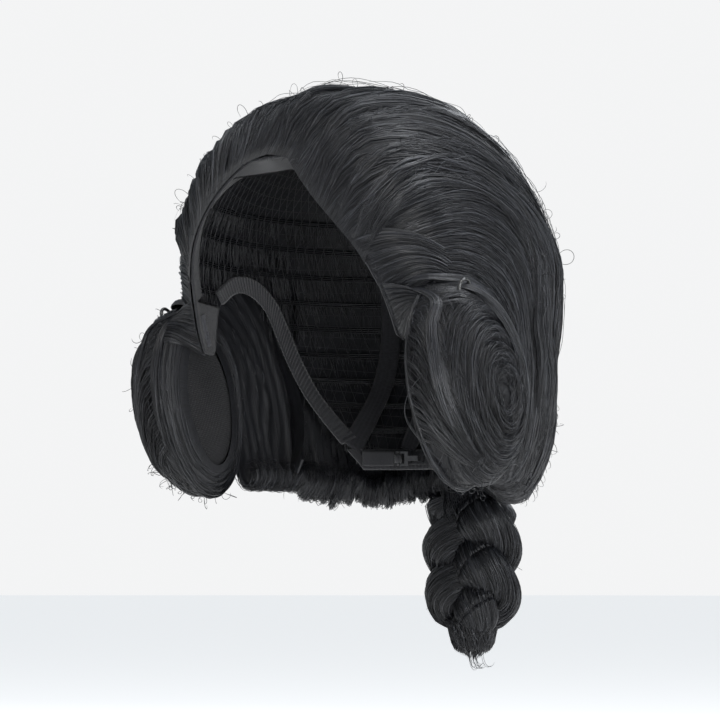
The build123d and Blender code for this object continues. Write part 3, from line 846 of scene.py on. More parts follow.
def roll_lock(rand, side, count, phi_from, phi_to, rho_from, rho_to, width, height):
    stations = 48
    t = ramp(stations)
    offset = rand.uniform(-1, 1, (count, 1))
    spread = width * (0.45 + 0.75 * np.sin(PI * np.clip(t * 0.9 + 0.06, 0, 1)))
    rho = (rho_from + (rho_to - rho_from) * t + offset * spread
           + 0.010 * wobble(rand, count, stations, 1.5, 4))
    phi = (phi_from + (phi_to - phi_from) * t ** 1.05 + 0.03 * rand.normal(0, 1, (count, 1))
           + 0.03 * offset * t)
    arch = np.sin(PI * np.clip(t * 0.94 + 0.05, 0, 1)) ** 0.6
    lift = height * (1 - 0.8 * offset ** 2) * arch + rand.normal(0, 0.25, (count, 1)) - 0.6
    return strands(rand, *roll_surface(rho, phi, side, lift))


# Swathes that come free of the temple and wrap the roll: fibres, free points (x, y, z), then
# phi in degrees and rho of the points on the roll, their lift, half width and half height
SWATHES = (
    (250, [(66.5, -53, 34), (76, -50.5, 36), (86, -46.5, 36.5)],
     [72, 52, 29, 4, -24, -50, -74], [0.975, 0.955, 0.93, 0.905, 0.885, 0.87, 0.86],
     3.4, 6.6, 2.8),
    (130, [(67.5, -50.5, 27), (78, -48.5, 31), (88.5, -45, 32.5)],
     [80, 60, 37, 12, -16, -44, -70], [0.92, 0.85, 0.79, 0.74, 0.70, 0.68, 0.66],
     2.2, 4.0, 1.7),
    (110, [(67, -51.5, 30), (77, -51.5, 31.5)],
     [116, 138, 162, 188, 214, 240], [0.97, 0.95, 0.92, 0.89, 0.86, 0.84],
     1.4, 3.4, 1.2),
)


def swathe(rand, side, count, free, angles, rhos, lift, width, height):
    stations = 56
    drop = lift - (lift + 0.9) * smooth((np.linspace(0, 1, len(angles)) - 0.55) / 0.45)
    on_roll, _ = roll_surface(np.array(rhos), np.radians(angles), 1, drop)
    centre = dense(np.vstack([free, on_roll]), stations)
    t = np.linspace(0, 1, stations)
    ahead = unit(np.gradient(centre, axis=0))
    out = unit(centre - np.array([78.0, -31.0, -12.0]))
    normal = unit(out - (out * ahead).sum(-1, keepdims=True) * ahead)
    sideways = np.cross(ahead, normal)
    width_at = width * (0.22 + 0.78 * np.sin(PI * np.clip(t * 0.86 + 0.02, 0, 1)))
    height_at = height * np.sin(PI * np.clip(t * 0.98 + 0.01, 0, 1)) ** 0.7
    offset = (rand.uniform(-1, 1, (count, 1))
              + 0.10 * wobble(rand, count, stations, 1.5, 4))
    depth = rand.uniform(0.0, 1.0, (count, 1)) ** 0.4
    rise = ((1 - offset ** 2) * height_at * depth
            + 0.2 * wobble(rand, count, stations, 2, 5) - 0.6 - 1.2 * (1 - smooth(t / 0.12)))
    points = lifted(lifted(centre, sideways, offset * width_at), normal, rise)
    # the mix leans towards the mid and lit tones: a painted sheen along these swathes, over the
    # random tone of the fibres
    return strands(rand, mirror(points, side), mirror(normal, side)[None], radius=0.21,
                   mix=(0.2, 0.3, 0.3, 0.2))


TAB_EDGE = on_head(dense([(-58.5, 33), (-52, 18), (-48.5, 10), (-45.5, 7.6), (-41, 7.6)], 200),
                   1.9, 1)


def tab_flow(share, stations, lift):
    """Curves on the left from the ear tab's edge out to the front of the roll's rim."""
    start = along(TAB_EDGE, share)
    phi = np.radians(108 + 26 * share)
    end, end_normal = roll_surface(np.ones(len(share)), phi, 1, -0.6)
    start_normal = head(1.9).normal(start)
    t = ramp(stations)[..., None]
    leave = start + start_normal * 7.0 + np.array([0, 1.0, 2.0])
    arrive = end + np.array([-9.0, 2.0, 3.0])
    points = ((1 - t) ** 3 * start[:, None] + 3 * t * (1 - t) ** 2 * leave[:, None]
              + 3 * t ** 2 * (1 - t) * arrive[:, None] + t ** 3 * end[:, None])
    normals = unit(start_normal[:, None] * (1 - t) + end_normal[:, None] * t
                   + np.array([0, -0.35, 0.2]) * (t * (1 - t) * 4))
    return lifted(points, normals, lift * smooth(t[..., 0] / 0.1) + 0.3), normals, phi


def tab_strands(rand, side):
    """Hair from the ear tab that runs on round the roll, up or down."""
    count, stations, more = 320, 16, 22
    share = rand.random(count) ** 1.15
    lift = (-ridge(share * 11)[:, None] ** 2 + rand.normal(0, 0.3, (count, 1))
            + 0.3 * wobble(rand, count, stations, 1, 3))
    points, normals, phi = tab_flow(share, stations, lift)
    t = ramp(more)
    way = np.where(rand.random(count) < 0.25 + 0.75 * share, 1.0, -1.0)[:, None]
    phi = phi[:, None] + way * rand.uniform(0.6, 1.5, (count, 1)) * t
    rho = (1.0 - rand.uniform(0.02, 0.30, (count, 1)) * t
           + 0.01 * wobble(rand, count, more, 1.5, 3.5))
    on_roll = roll_surface(rho, phi, 1, (lift[:, -1:] + 0.3) * (1 - t) - 0.9 * t + 0.3)
    points = np.concatenate([points, on_roll[0][:, 1:]], 1)
    normals = np.concatenate([normals, on_roll[1][:, 1:]], 1)
    return strands(rand, mirror(points, side), mirror(normals, side), root=0.5)


def side_hair(rand, side, label, seed):
    """The hair behind and under the roll: its surface, then its fibres."""
    def locks(across, stations):
        return lock_field(across[:, None], ramp(stations), 12, seed + 9, 1.8)

    across = np.linspace(0, 1, 44)
    points, normals = side_flow(across, 60, side, locks(across, 60) - 2.6)
    points, _ = add_curl(points, normals, 8, radius=6.0, turn=3.2)
    hair_sheet(f"{label}_side_hair_mass", points, flip=side < 0, uv_width=0.4)
    count, stations = 760, 34
    across = 0.05 + 0.95 * rand.random(count)
    lift = (locks(across, stations) - 1.0 + rand.normal(0, 0.4, (count, 1))
            + 0.4 * wobble(rand, count, stations, 2, 5))
    sway = 1.6 * wobble(rand, count, stations, 1, 3, 6)
    points, normals = side_flow(across, stations, side, lift, sway)
    curled = add_loose_curl(rand, points, normals, 8, radius=(4.0, 8.5), turn=(2.2, 5.0))
    hair(f"{label}_side_hair_fibres", [strands(rand, *curled)])


for side, label in SIDES:
    seed = 200 + side
    rand = np.random.default_rng(seed)
    roll_mass(side, label, seed)
    bundles = [wound_strands(rand, side, seed), rim_fuzz(rand, side), temple_strands(rand, side)]
    if side > 0:
        bundles.append(foot_loop(rand))
    bundles += [roll_lock(rand, side, *lock) for lock in ROLL_LOCKS]
    bundles += [swathe(rand, side, *row) for row in SWATHES]
    bundles.append(tab_strands(rand, side))
    hair(f"{label}_side_roll_fibres", bundles)
    side_hair(rand, side, label, seed)
    points, _ = sweep_flow(np.linspace(0.58, 1.0, 26), 26, side, -1.2)
    hair_sheet(f"{label}_temple_mass", points, flip=side < 0, uv_width=0.3)
    points, _, _ = tab_flow(np.linspace(0, 0.72, 24), 16, -1.3)
    hair_sheet(f"{label}_ear_tab_hair_mass", mirror(points, side), flip=side < 0, uv_width=0.3)

# ---------------------------------------------------------------- panels of the main sheet
# name, then the shares of the length from and to: for the surface and for the fibres
PANELS = (
    ("front_hair", (0, 0.30), (0, 0.30)),
    ("crown_hair", (0.30, 0.56), (0.30, 0.56)),
    ("back_hair", (0.56, 0.88), (0.56, 0.80)),
    ("nape_roll", (0.88, 1.0), (0.80, 1.0)),
)


def panel_rows(stations, span):
    return tuple(int(round(share * (stations - 1))) for share in span)


# the front is one piece a side, the others span both sides
for name, span, _ in PANELS:
    first, last = panel_rows(SHEET_GRIDS[1].shape[1], span)
    left = SHEET_GRIDS[1][:, first:last + 1]
    right = SHEET_GRIDS[-1][::-1, first:last + 1]
    if name == "front_hair":
        hair_sheet(f"left_{name}_mass", left, replaces=f"left_{name}")
        hair_sheet(f"right_{name}_mass", right, replaces=f"right_{name}")
    else:
        hair_sheet(f"{name}_mass", np.concatenate([right, left]), replaces=name)
for name, _, span in PANELS:
    rows = panel_rows(SHEET_STRANDS[1][0].shape[1], span)
    halves = [(*SHEET_STRANDS[side], rows) for side, _ in SIDES]
    if name == "front_hair":
        for (_, label), half in zip(SIDES, halves):
            hair(f"{label}_{name}_fibres", [half])
    else:
        hair(f"{name}_fibres", halves)


# ---------------------------------------------------------------- nape curls and flyaways
def nape_curls(rand):
    count = 420
    sides = rand.choice([-1, 1], count)
    points, normals = main_flow(rand.random(count) ** 0.8, 60, 1, lift=0.6)
    at = np.arange(count), rand.integers(50, 60, count)
    root, normal = mirror(points[at], sides), mirror(normals[at], sides)
    ahead = unit(np.array([0, 0, -1.0]) + rand.normal(0, 0.45, (count, 3)))
    angle = ramp(26) * rand.uniform(3.0, 8.5, (count, 1))
    radius = rand.uniform(1.6, 4.6, (count, 1))
    drift = 0.7 * angle * rand.choice([-1, 1], (count, 1))
    points = curl_points(root + normal, ahead, -normal, radius, angle, creep=0.8, depth=1.0)
    points = lifted(points, np.cross(normal, ahead)[:, None], drift)
    return strands(rand, points, normal[:, None], radius=0.17)


def long_flyaways(rand, side, count):
    """Pieces of the flow that stand off the sheet."""
    whole, stations = 80, 34
    across = rand.random(count) ** 1.3
    rand.random(14 * count)     # unused, but the draws after it depend on its place
    sway = wobble(rand, count, whole, 3, 8, 15) * rand.uniform(1.5, 5.0, (count, 1))
    lift = 0.4 + rand.uniform(0.3, 1.0, (count, 1)) ** 3 * 6.5 * (
        0.5 + 0.5 * wobble(rand, count, whole, 3, 7, 13))
    points, normals = main_flow(across, whole, side, sway, lift)
    at = (np.arange(count)[:, None],
          rand.integers(4, 46, count)[:, None] + np.arange(stations)[None, :])
    return strands(rand, points[at], normals[at], radius=0.14, tip=0.3, root=0.3)


def standing_curls(rand):
    """Short curls that stand up along the top, most of them on the right."""
    count = 230
    sides = np.where(rand.random(count) < 0.68, -1, 1)
    points, normals = main_flow(rand.random(count) ** 1.1, 60, 1, lift=0.4)
    each, row = np.arange(count), rand.integers(4, 40, count)
    root, normal = mirror(points[each, row], sides), mirror(normals[each, row], sides)
    ahead = mirror(unit(points[each, row + 1] - points[each, row]), sides)
    angle = ramp(24) * rand.uniform(2.6, 6.2, (count, 1))
    radius = rand.uniform(1.0, 3.4, (count, 1))
    radius = radius * np.where(rand.random((count, 1)) < 0.3, 1.7, 1.0)
    points = curl_points(root, ahead, normal, radius, angle, creep=1.1, depth=0.9)
    drift = 0.5 * angle * rand.normal(0, 1, (count, 1))
    points = lifted(points, np.cross(normal, ahead)[:, None], drift)
    return strands(rand, points, normal[:, None], radius=0.14)


def forehead_strays(rand):
    """Fine hairs that fall out of the hairline on to the forehead."""
    count = 46
    share = np.abs(rand.normal(0, 0.16, count)) % 0.6
    root = mirror(along(hairline, share), rand.choice([-1, 1], count))
    normal = head(2.2).normal(root)
    ahead = unit(vec(rand.normal(0, 0.5, count), -0.35, -0.9))
    ahead = unit(ahead - (ahead * normal).sum(-1, keepdims=True) * normal)
    t = ramp(20)
    length = rand.uniform(3, 9, (count, 1))
    bend = rand.normal(0, 1, (count, 1))
    points = lifted(root[:, None], ahead[:, None], length * (t - 0.35 * t ** 2))
    points = lifted(points, normal[:, None], 1.6 * np.sin(t * PI * 0.8) + 0.3)
    points = lifted(points, np.cross(normal, ahead)[:, None], bend * length * 0.3 * t ** 2)
    return strands(rand, points, normal[:, None], radius=0.10)


rand = np.random.default_rng(91)
hair("nape_curl_fibres", [nape_curls(rand)])
hair("flyaway_fibres", [long_flyaways(rand, 1, 90), long_flyaways(rand, -1, 120),
                        standing_curls(rand), forehead_strays(rand)])

# ---------------------------------------------------------------- braid
# Where the two ties draw the braid in: z, scale of the strands' paths, scale of their thickness
BRAID_WAIST = np.array([
    (-146, 0.16, 0.30), (-141, 0.20, 0.36), (-137.8, 0.26, 0.42), (-132, 0.62, 0.72),
    (-124, 0.97, 0.98), (-100, 1.0, 1.0), (-76, 1.0, 1.0), (-69, 0.92, 0.94),
    (-65.5, 0.45, 0.60), (-61, 0.36, 0.46), (-55, 0.50, 0.60), (-48, 0.9, 0.9)])


def braid_fibre(z, strand, angle, share):
    """Points and normals of a fibre at an angle and a share of the radius of its strand."""
    path = np.interp(z, BRAID_WAIST[:, 0], BRAID_WAIST[:, 1])
    thick = np.interp(z, BRAID_WAIST[:, 0], BRAID_WAIST[:, 2])

    def centre_at(height):
        phase = TURN * ((height - BRAID_PHASE_Z) / BRAID_PERIOD + strand / 3.0)
        return vec(BRAID_SWING * path * np.sin(phase),
                   BRAID_Y + BRAID_DEPTH * path * np.sin(2 * phase), height)

    centre = centre_at(z)
    ahead = unit(centre_at(z + 0.5) - centre)
    sideways = unit(np.cross(np.array([0, 1.0, 0]), ahead))
    depthways = np.cross(ahead, sideways)
    angle = angle + 0.9 * (z + 63.0) / 22.0
    normals = (sideways * np.cos(angle)[..., None] + depthways * np.sin(angle)[..., None])
    points = lifted(lifted(centre, sideways, STRAND_HALF_WIDTH * thick * share * np.cos(angle)),
                    depthways, STRAND_HALF_DEPTH * thick * share * np.sin(angle))
    return points, normals


def strand_relief(angle, z):
    return 1 + 0.030 * np.sin(6 * angle + 0.05 * z) + 0.018 * np.sin(15 * angle - 0.08 * z)


def bend_between(ob, upper, lower, z_from, z_to):
    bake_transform(ob)


# Spans: name, z from and to, the body above, the body below, z from and to of their blend
BRAID_SPANS = (
    ("upper", -50.0, -74.5, "cap", "braid_upper", -54.5, -65.0),
    ("middle", -74.5, -100.5, "braid_upper", "braid_middle", -83.5, -92.5),
    ("lower", -100.5, -126.0, "braid_middle", "braid_tail", -108.5, -116.0),
    ("tip", -126.0, -145.0, "braid_tail", None, 0, 0),
)
FIBRES = 360                       # in each strand
rand = np.random.default_rng(77)
fibre_angle = rand.uniform(0, TURN, (3, FIBRES, 1))
fibre_share = 1.0 + rand.normal(0.0, 0.028, (3, FIBRES, 1))
fibre_tone = rand.choice(4, 3 * FIBRES, p=[0.34, 0.33, 0.22, 0.11])
fibre_radius = rand.uniform(0.16, 0.24, (3 * FIBRES, 1))
fibre_phase = rand.random((3, FIBRES, 1))


def braid_span(name, z_from, z_to, upper, lower, blend_from, blend_to):
    stations, corners = 24, 49
    z = np.linspace(z_from, z_to, stations)[None, :]
    round_strand = np.linspace(0, TURN, corners)[:, None]
    fibres, grids, quads, uv = [], [], [], []
    for k in range(3):
        phase = fibre_phase[k]
        angle = fibre_angle[k] + 0.12 * np.sin(TURN * (z / 31.0 + phase))
        share = (fibre_share[k] * strand_relief(angle, z)
                 + 0.018 * np.sin(TURN * (z / 17.0 + 2 * phase)))
        fibres.append(braid_fibre(z, k, angle, share))
        relief = 0.95 * strand_relief(round_strand, z)
        grids.append(braid_fibre(z, k, round_strand, relief)[0])
        quads.append(grid_faces(corners, stations) + k * corners * stations)
        uv.append(grid_uv(corners, stations, k / 3 + 0.01, (k + 1) / 3 - 0.01))
    points, normals = map(np.concatenate, zip(*fibres))
    cover = tubes(f"braid_{name}_fibres", [(points, normals, fibre_radius, fibre_tone)],
                  HAIR_TONES)
    mass = build(f"braid_{name}_mass", np.concatenate(grids), np.vstack(quads),
                 np.concatenate(uv), [braid_base])
    for ob in (cover, mass):
        if lower:
            bend_between(ob, upper, lower, blend_from, blend_to)
        else:
            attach(ob, upper)
    if lower:
        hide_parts(lower)


def root_gather(rand):
    """Nape hair drawn together into the braid's root."""
    count, stations = 620, 26
    x = rand.uniform(-46, 46, count)
    z = -30.0 - 6 * rand.random(count) + 0.10 * np.abs(x)
    angle = np.arcsin(np.clip(x / outer.radius(z), -1, 1))
    start = vec(x, outer.radius(z) * outer.ratio * np.cos(angle), z)
    y_middle = (outer.radius(-50.0) * outer.ratio * np.cos(angle * 0.7)
                + rand.uniform(-5, 1.5, count))
    middle = vec(x * 0.62, y_middle, -50.5 + rand.normal(0, 1.0, count))
    spin = np.arctan2(rand.normal(0, 1, count), x / 18)
    end = vec(8.0 * np.cos(spin) * np.sqrt(rand.uniform(0.3, 1, count)),
              BRAID_Y + 8.0 * np.sin(spin) * np.sqrt(rand.uniform(0.3, 1, count)), -63.0)
    points = bow(start[:, None], middle[:, None], end[:, None], ramp(stations)[..., None])
    normals = outer.normal(points)
    lift = rand.uniform(-1.5, 1.4, (count, 1)) + 0.5 * wobble(rand, count, stations, 1, 3)
    return strands(rand, lifted(points, normals, lift), normals)


def root_spill(rand):
    """Loose hair that spills over the root tie."""
    count, stations = 380, 18
    start = rand.uniform(0, TURN, count)[:, None]
    t = ramp(stations)
    z = -54.0 + (rand.uniform(-81.0, -71.0, (count, 1)) + 54.0) * t
    turn = (start + rand.normal(0.5, 0.35, (count, 1)) * t
            + 0.05 * wobble(rand, count, stations, 1, 2.5))
    stray = (rand.normal(0, 0.5, (count, 1)) + 0.4 * wobble(rand, count, stations, 1, 3)
             - 1.4 * smooth((t - 0.75) / 0.25))
    levels = [-86, -80, -74, -68, -62, -54]
    half_width = np.interp(z, levels, [26.5, 25.5, 23.0, 19.5, 16.5, 15.0]) + stray
    half_depth = np.interp(z, levels, [17.0, 16.6, 15.4, 14.0, 13.0, 12.4]) + stray
    points = vec(half_width * np.cos(turn), BRAID_Y + half_depth * np.sin(turn), z)
    return strands(rand, points, vec(np.cos(turn), np.sin(turn), 0.0))


def tip_tuft(rand):
    """Loose hair that rounds off the end over the tie."""
    count, stations = 520, 20
    start = rand.uniform(0, TURN, count)[:, None]
    share = np.where(rand.random((count, 1)) < 0.55, rand.uniform(0.90, 1.04, (count, 1)),
                     np.sqrt(rand.random((count, 1))))
    t = ramp(stations)
    top = np.where(share > 0.88, rand.uniform(-133.5, -130.0, (count, 1)), -139.5)
    low = -151.0 + 5.0 * share ** 2 + rand.normal(0, 0.6, (count, 1))
    z = top + (low - top) * t
    turn = (start + rand.normal(0.35, 0.3, (count, 1)) * t
            + 0.05 * wobble(rand, count, stations, 1, 2.5))
    reach = np.interp(z, [-154, -151.5, -149, -146, -143, -139.4, -136, -130],
                      [2.0, 5.0, 7.6, 9.4, 10.6, 11.5, 12.3, 14.2])
    reach = reach * share + 0.25 * wobble(rand, count, stations, 1, 3)
    points = vec(1.08 * reach * np.cos(turn), BRAID_Y + 0.96 * reach * np.sin(turn), z)
    return strands(rand, points, vec(np.cos(turn), np.sin(turn), -0.3))


def tip_wisps(rand):
    """A few hairs that curve out below the tuft."""
    count = 14
    spin = rand.normal(0.3, 0.5, (count, 1))
    bend = rand.uniform(1.2, 2.6, (count, 1)) * ramp(22)
    length = rand.uniform(5.0, 9.0, (count, 1))
    reach = length * (1 - np.cos(bend))
    x = rand.normal(0, 1.6, (count, 1)) + 0.55 * reach * np.cos(spin)
    y = BRAID_Y + rand.normal(0, 1.6, (count, 1)) + 0.4 * reach * np.sin(spin)
    points = vec(x, y, -149.0 - length * np.sin(bend) * 0.9)
    return strands(rand, points, np.array([1.0, 0.2, 0.1]), radius=0.14)


def braid_strays(rand, body, z_high, z_low):
    """Short hairs that stick out of the braid."""
    count = 60
    strand = rand.integers(0, 3, count)
    z = rand.uniform(z_low, z_high, count)
    root, normal = np.zeros((count, 3)), np.zeros((count, 3))
    for k in range(3):
        chosen = strand == k
        spin = rand.uniform(0, TURN, chosen.sum())
        root[chosen], normal[chosen] = braid_fibre(z[chosen], k, spin, 1.0)
    ahead = unit(np.cross(normal, rand.normal(0, 1, (count, 3))))
    angle = ramp(14) * rand.uniform(1.2, 4.5, (count, 1))
    radius = rand.uniform(1.0, 2.8, (count, 1))
    points = curl_points(root, ahead, normal, radius, angle, creep=0.6, depth=0.7)
    hair(f"{body}_strays", [strands(rand, points, normal[:, None], radius=0.13)], body)


def wound_tie(node_name, body, radius, thick, z_low, z_high):
    """A ring of wound thread."""
    rows, columns = 96, 20
    u = np.linspace(0, TURN, rows, endpoint=False)[:, None]
    w = np.linspace(0, TURN, columns, endpoint=False)[None, :]
    groove = 1 + 0.07 * np.sin(40 * u + 2 * w)
    reach = radius + thick / 2 * np.cos(w) * groove
    z = (z_low + z_high) / 2 + (z_high - z_low) / 2 * np.sin(w) * groove
    ob = build(f"{node_name}_wrap", vec(reach * np.cos(u), BRAID_Y + reach * np.sin(u), z),
               grid_faces(rows, columns, True, True), grid_uv(rows + 1, columns + 1), [tie_mat])
    place(ob, node_name, body)


for span in BRAID_SPANS:
    braid_span(*span)
for name, make in (("braid_root_gather", root_gather), ("braid_root_spill", root_spill)):
    ob = tubes(name, [make(rand)], HAIR_TONES)
    bend_between(ob, "cap", "braid_upper", -54.5, -65.0)
hair("braid_tip_tuft", [tip_tuft(rand), tip_wisps(rand)], "braid_tail")
for body, z_high, z_low in (("braid_upper", -68, -82), ("braid_middle", -93, -107),
                            ("braid_tail", -117, -135)):
    braid_strays(rand, body, z_high, z_low)
wound_tie("braid_root_tie", "braid_upper", radius=10.5, thick=3.0, z_low=-65.2, z_high=-61.4)
wound_tie("braid_end_tie", "braid_tail", radius=8.8, thick=2.7, z_low=-139.4, z_high=-136.0)


# ---------------------------------------------------------------- cap net
def inside_rim(points):
    """True where a point lies behind the cap's front edge and clear of the ear."""
    y, z = points[..., 1], points[..., 2]
    behind_front = (y > np.interp(z, FRONT[::-1, 1], FRONT[::-1, 0])) & (z > -50)
    under_arch = z < np.interp(y, EAR[:, 0], EAR[:, 1], left=-999, right=-999)
    back_edge = EAR[EAR[:, 1].argmax():][::-1]
    before_back_edge = (z <= 12) & (y < np.interp(z, back_edge[:, 1], back_edge[:, 0]))
    on_tab = (z > 6.5) & (z <= 12) & (y > -48) & (y < -34)
    return behind_front & ~under_arch & (~before_back_edge | on_tab)


def runs(flags, least):
    """Start and end of each unbroken run of True longer than least."""
    k = 0
    while k < len(flags):
        end = k
        while end < len(flags) and flags[end]:
            end += 1
        if end - k > least:
            yield k, end
        k = max(end, k + 1)


def net_points(polar, azimuth):
    """Points, normals and inside flags at angles from the crown, on the net's form."""
    form = head(1.85)
    direction = vec(np.sin(polar) * np.cos(azimuth), np.sin(polar) * np.sin(azimuth),
                    np.cos(polar))
    points = form.hit(np.array([0, 4.0, 30.0]), direction)
    return points, form.normal(points), inside_rim(points)


def crown_net():
    """Threads that spiral down from the crown both ways, and level threads."""
    bundles = []
    lines, stations = 84, 150
    start = np.linspace(0, TURN, lines, endpoint=False)[:, None]
    t = np.linspace(0.01, 1, stations)[None, :]
    for hand in (1, -1):
        spiral = net_points(t * math.radians(152), start + hand * 1.15 * t ** 0.8)
        for points, normals, inside in zip(*spiral):
            for first, end in runs(inside, 4):
                place_at = np.linspace(first, end - 1, max(6, (end - first) // 2))
                low = np.floor(place_at).astype(int)
                high = np.minimum(low + 1, end - 1)
                part = (place_at - low)[:, None]
                bundles.append(thread((1 - part) * points[low] + part * points[high],
                                      normals[low], 0.17))
    for polar in np.radians(np.arange(6, 150, 4.2)):
        points, normals, inside = net_points(polar, np.linspace(0, TURN, 181))
        for first, end in runs(inside, 4):
            bundles.append(thread(points[first:end], normals[first:end], 0.15))
    place(tubes("crown_net_mesh", bundles, [net_mat]), "crown_net")


crown_net()


# ---------------------------------------------------------------- cap bands
def band(name, replaces, material, edge, inner, grow, thick, rows, columns, side=0,
         rib=0.0):
    """A band on the head between two side-view curves. side 0 spans both sides."""
    w = ramp(columns)[..., None]
    yz = dense(edge, rows)[:, None, :] * (1 - w) + dense(inner, rows)[:, None, :] * w
    if side == 0:
        points = np.concatenate([on_head(yz[1:][::-1], grow, -1), on_head(yz, grow, 1)])
    else:
        points = on_head(yz, grow, side)
    normals = head(grow).normal(points)
    share = np.linspace(0, 1, len(points))[:, None]
    points = lifted(points, normals, rib * np.sin(TURN * 56 * share))
    if side < 0:
        points, normals = points[::-1], normals[::-1]
    place(slab(name, points, normals, thick, material), replaces)


band("front_band_ribbon", "front_band", lace_mat, FRONT[:7],
     offset_points(FRONT, 12.0)[:7], grow=0.75, thick=1.1, rows=110, columns=8)
for side, label in SIDES:
    band(f"{label}_ear_tab_cloth", f"{label}_ear_tab", lace_mat,
         [(-58.6, 34.2), (-52, 18), (-48.5, 10), (-46, 8)],
         [(-28.2, 34.2), (-31.5, 22), (-34, 12), (-37.5, 8)],
         grow=0.6, thick=1.2, rows=26, columns=14, side=side)
    band(f"{label}_side_band_elastic", f"{label}_side_band", elastic_mat, EAR[2:10],
         offset_points(EAR, 9.0)[2:10], grow=0.75, thick=1.1, rows=300, columns=8, side=side,
         rib=0.20)


def nape_band():
    """Ruffled elastic across the back."""
    share = np.linspace(1, -1, 121)[:, None]
    z = np.linspace(-38.8, -49.8, 9)[None, :]
    form = head(0.75)
    radius = form.radius(z)
    y_end = np.interp(z, [-50, -38], [48.5, 42.5])
    angle = share * np.arccos(np.clip(y_end / (radius * form.ratio), -1, 1))
    points = vec(radius * np.sin(angle), radius * form.ratio * np.cos(angle), z)
    normals = form.normal(points)
    points = lifted(points, normals, 0.22 * np.sin(TURN * 44 * (share + 1) / 2))
    place(slab("nape_band_elastic", points, normals, 1.0, elastic_mat), "nape_band")


def cap_ribbons():
    """Five ribbons from front to back, joined into one piece."""
    verts, quads, uv, base = [], [], [], 0
    form = head(0.7)
    front = offset_points(FRONT, 12.6)[::-1]
    for k, x_centre in enumerate((-45, -22.5, 0, 22.5, 45)):
        angle = np.linspace(math.radians(52 - abs(x_centre) * 0.35), math.radians(232),
                            130)[:, None]
        points = form.hit(vec(x_centre + np.linspace(-4, 4, 5)[None, :], 0.0, 20.0),
                          vec(0.0, -np.cos(angle), np.sin(angle)))
        middle = points[:, 2]
        points = points[(middle[:, 2] > -39.4)
                        & (middle[:, 1] > np.interp(middle[:, 2], front[:, 1], front[:, 0]))]
        normals = form.normal(points)
        rows, columns = points.shape[:2]
        size = rows * columns
        verts += [(points + normals * 0.5).reshape(-1, 3),
                  (points - normals * 0.5).reshape(-1, 3)]
        face = grid_faces(rows, columns)
        rim, after = grid_rim(rows, columns)
        edge = np.stack([rim, after, after + size, rim + size], -1)
        quads += [face[:, ::-1] + base, face + base + size, edge + base]
        v = k / 5
        uv += [grid_uv(rows, columns, 0, 1, v + 0.01, v + 0.09)[:, ::-1],
               grid_uv(rows, columns, 0, 1, v + 0.11, v + 0.19),
               np.tile([0.0, v + 0.095], (len(rim), 4, 1))]
        base += 2 * size
    ob = build("cap_ribbon_strips", np.vstack(verts), np.vstack(quads), np.concatenate(uv),
               [lace_mat])
    place(ob, "cap_ribbons")


nape_band()
cap_ribbons()


# ---------------------------------------------------------------- wefts and lining
def weft_fan(rand, track, normals):
    """Short fibres that fan down from a stretch of weft and lie just outside the net."""
    count = len(track) * 2
    chosen = rand.integers(0, len(track), count)
    root = track[chosen] + 0.5 * rand.uniform(-0.8, 0.8, count)[:, None]
    out = normals[chosen][:, None]
    t = ramp(7)[..., None]
    drop = vec(rand.normal(0, 2.0, count), rand.normal(3.0, 2.0, count),
               -rand.uniform(9, 16, count))
    points = root[:, None] + drop[:, None] * t
    middle = np.array([0, 0, 20.0])
    reach = points - middle
    surface = head(2.9).hit(middle, reach)
    below = np.linalg.norm(reach, axis=-1) < np.linalg.norm(surface - middle, axis=-1)
    points = np.where(below[..., None], surface, points) + out * 0.4 * t
    kept = inside_rim(points[:, -1]) & inside_rim(points[:, 3])
    return points[kept], out[kept]


def wefts():
    """Level rows of stitching, three threads each, and the fibres they hold."""
    rand = np.random.default_rng(5)
    form = head(3.0)
    stitches, fibres = [], []
    for z in range(-42, 85, 14):
        radius = form.radius(z)
        if z > WIDEST_Z:
            rise = (z - WIDEST_Z) / (form.top - WIDEST_Z)
            radius = form.widest * math.sqrt(1 - rise ** 2)
        azimuth = np.linspace(0, TURN, 361)
        ring = vec(radius * np.sin(azimuth), radius * form.ratio * np.cos(azimuth), float(z))
        inside = inside_rim(ring) & inside_rim(ring + np.array([0, -9.0, 0]))
        # start the ring at a gap, so that no run is split
        start = int(np.argmin(inside))
        ring, inside = np.roll(ring[:-1], -start, 0), np.roll(inside[:-1], -start)
        for first, end in runs(inside, 5):
            track = ring[first:end]
            normals = form.normal(track)
            for dz in (-1.0, 0.0, 1.0):
                wiggle = 0.18 * np.sin(np.arange(end - first) * 2.1 + dz)
                stitches.append(thread(lifted(track, normals, wiggle) + np.array([0, 0, dz]),
                                       normals, 0.52, tone=1))
            points, out = weft_fan(rand, track, normals)
            if len(points):
                fibres.append((points, out, np.full((1, 1), 0.2), rand.choice(3, len(points))))
    place(tubes("weft_track_stitching", stitches, [weft_mat, HAIR_TONES[1]]),
          "weft_tracks")
    place(tubes("weft_root_fibres", fibres, HAIR_TONES[:3]))


def hair_lining():
    """A dark surface behind the net, so that the inside reads as hair."""
    rows, columns = 91, 130
    x = np.linspace(-76, 76, rows)[:, None]
    angle = np.linspace(math.radians(20), math.radians(222), columns)[None, :]
    points = head(4.2).hit(vec(x, -6.0, 22.0), vec(0.0, -np.cos(angle), np.sin(angle)))
    inside = inside_rim(points) & inside_rim(points + np.array([0, -6.0, 0]))
    quads = grid_faces(rows, columns)
    kept = inside.reshape(-1)[quads].all(1)
    used, quads = np.unique(quads[kept], return_inverse=True)
    ob = build("weft_hair_lining", points.reshape(-1, 3)[used], quads.reshape(-1, 4),
               grid_uv(rows, columns)[kept], [hair_base])
    place(ob)


wefts()
hair_lining()


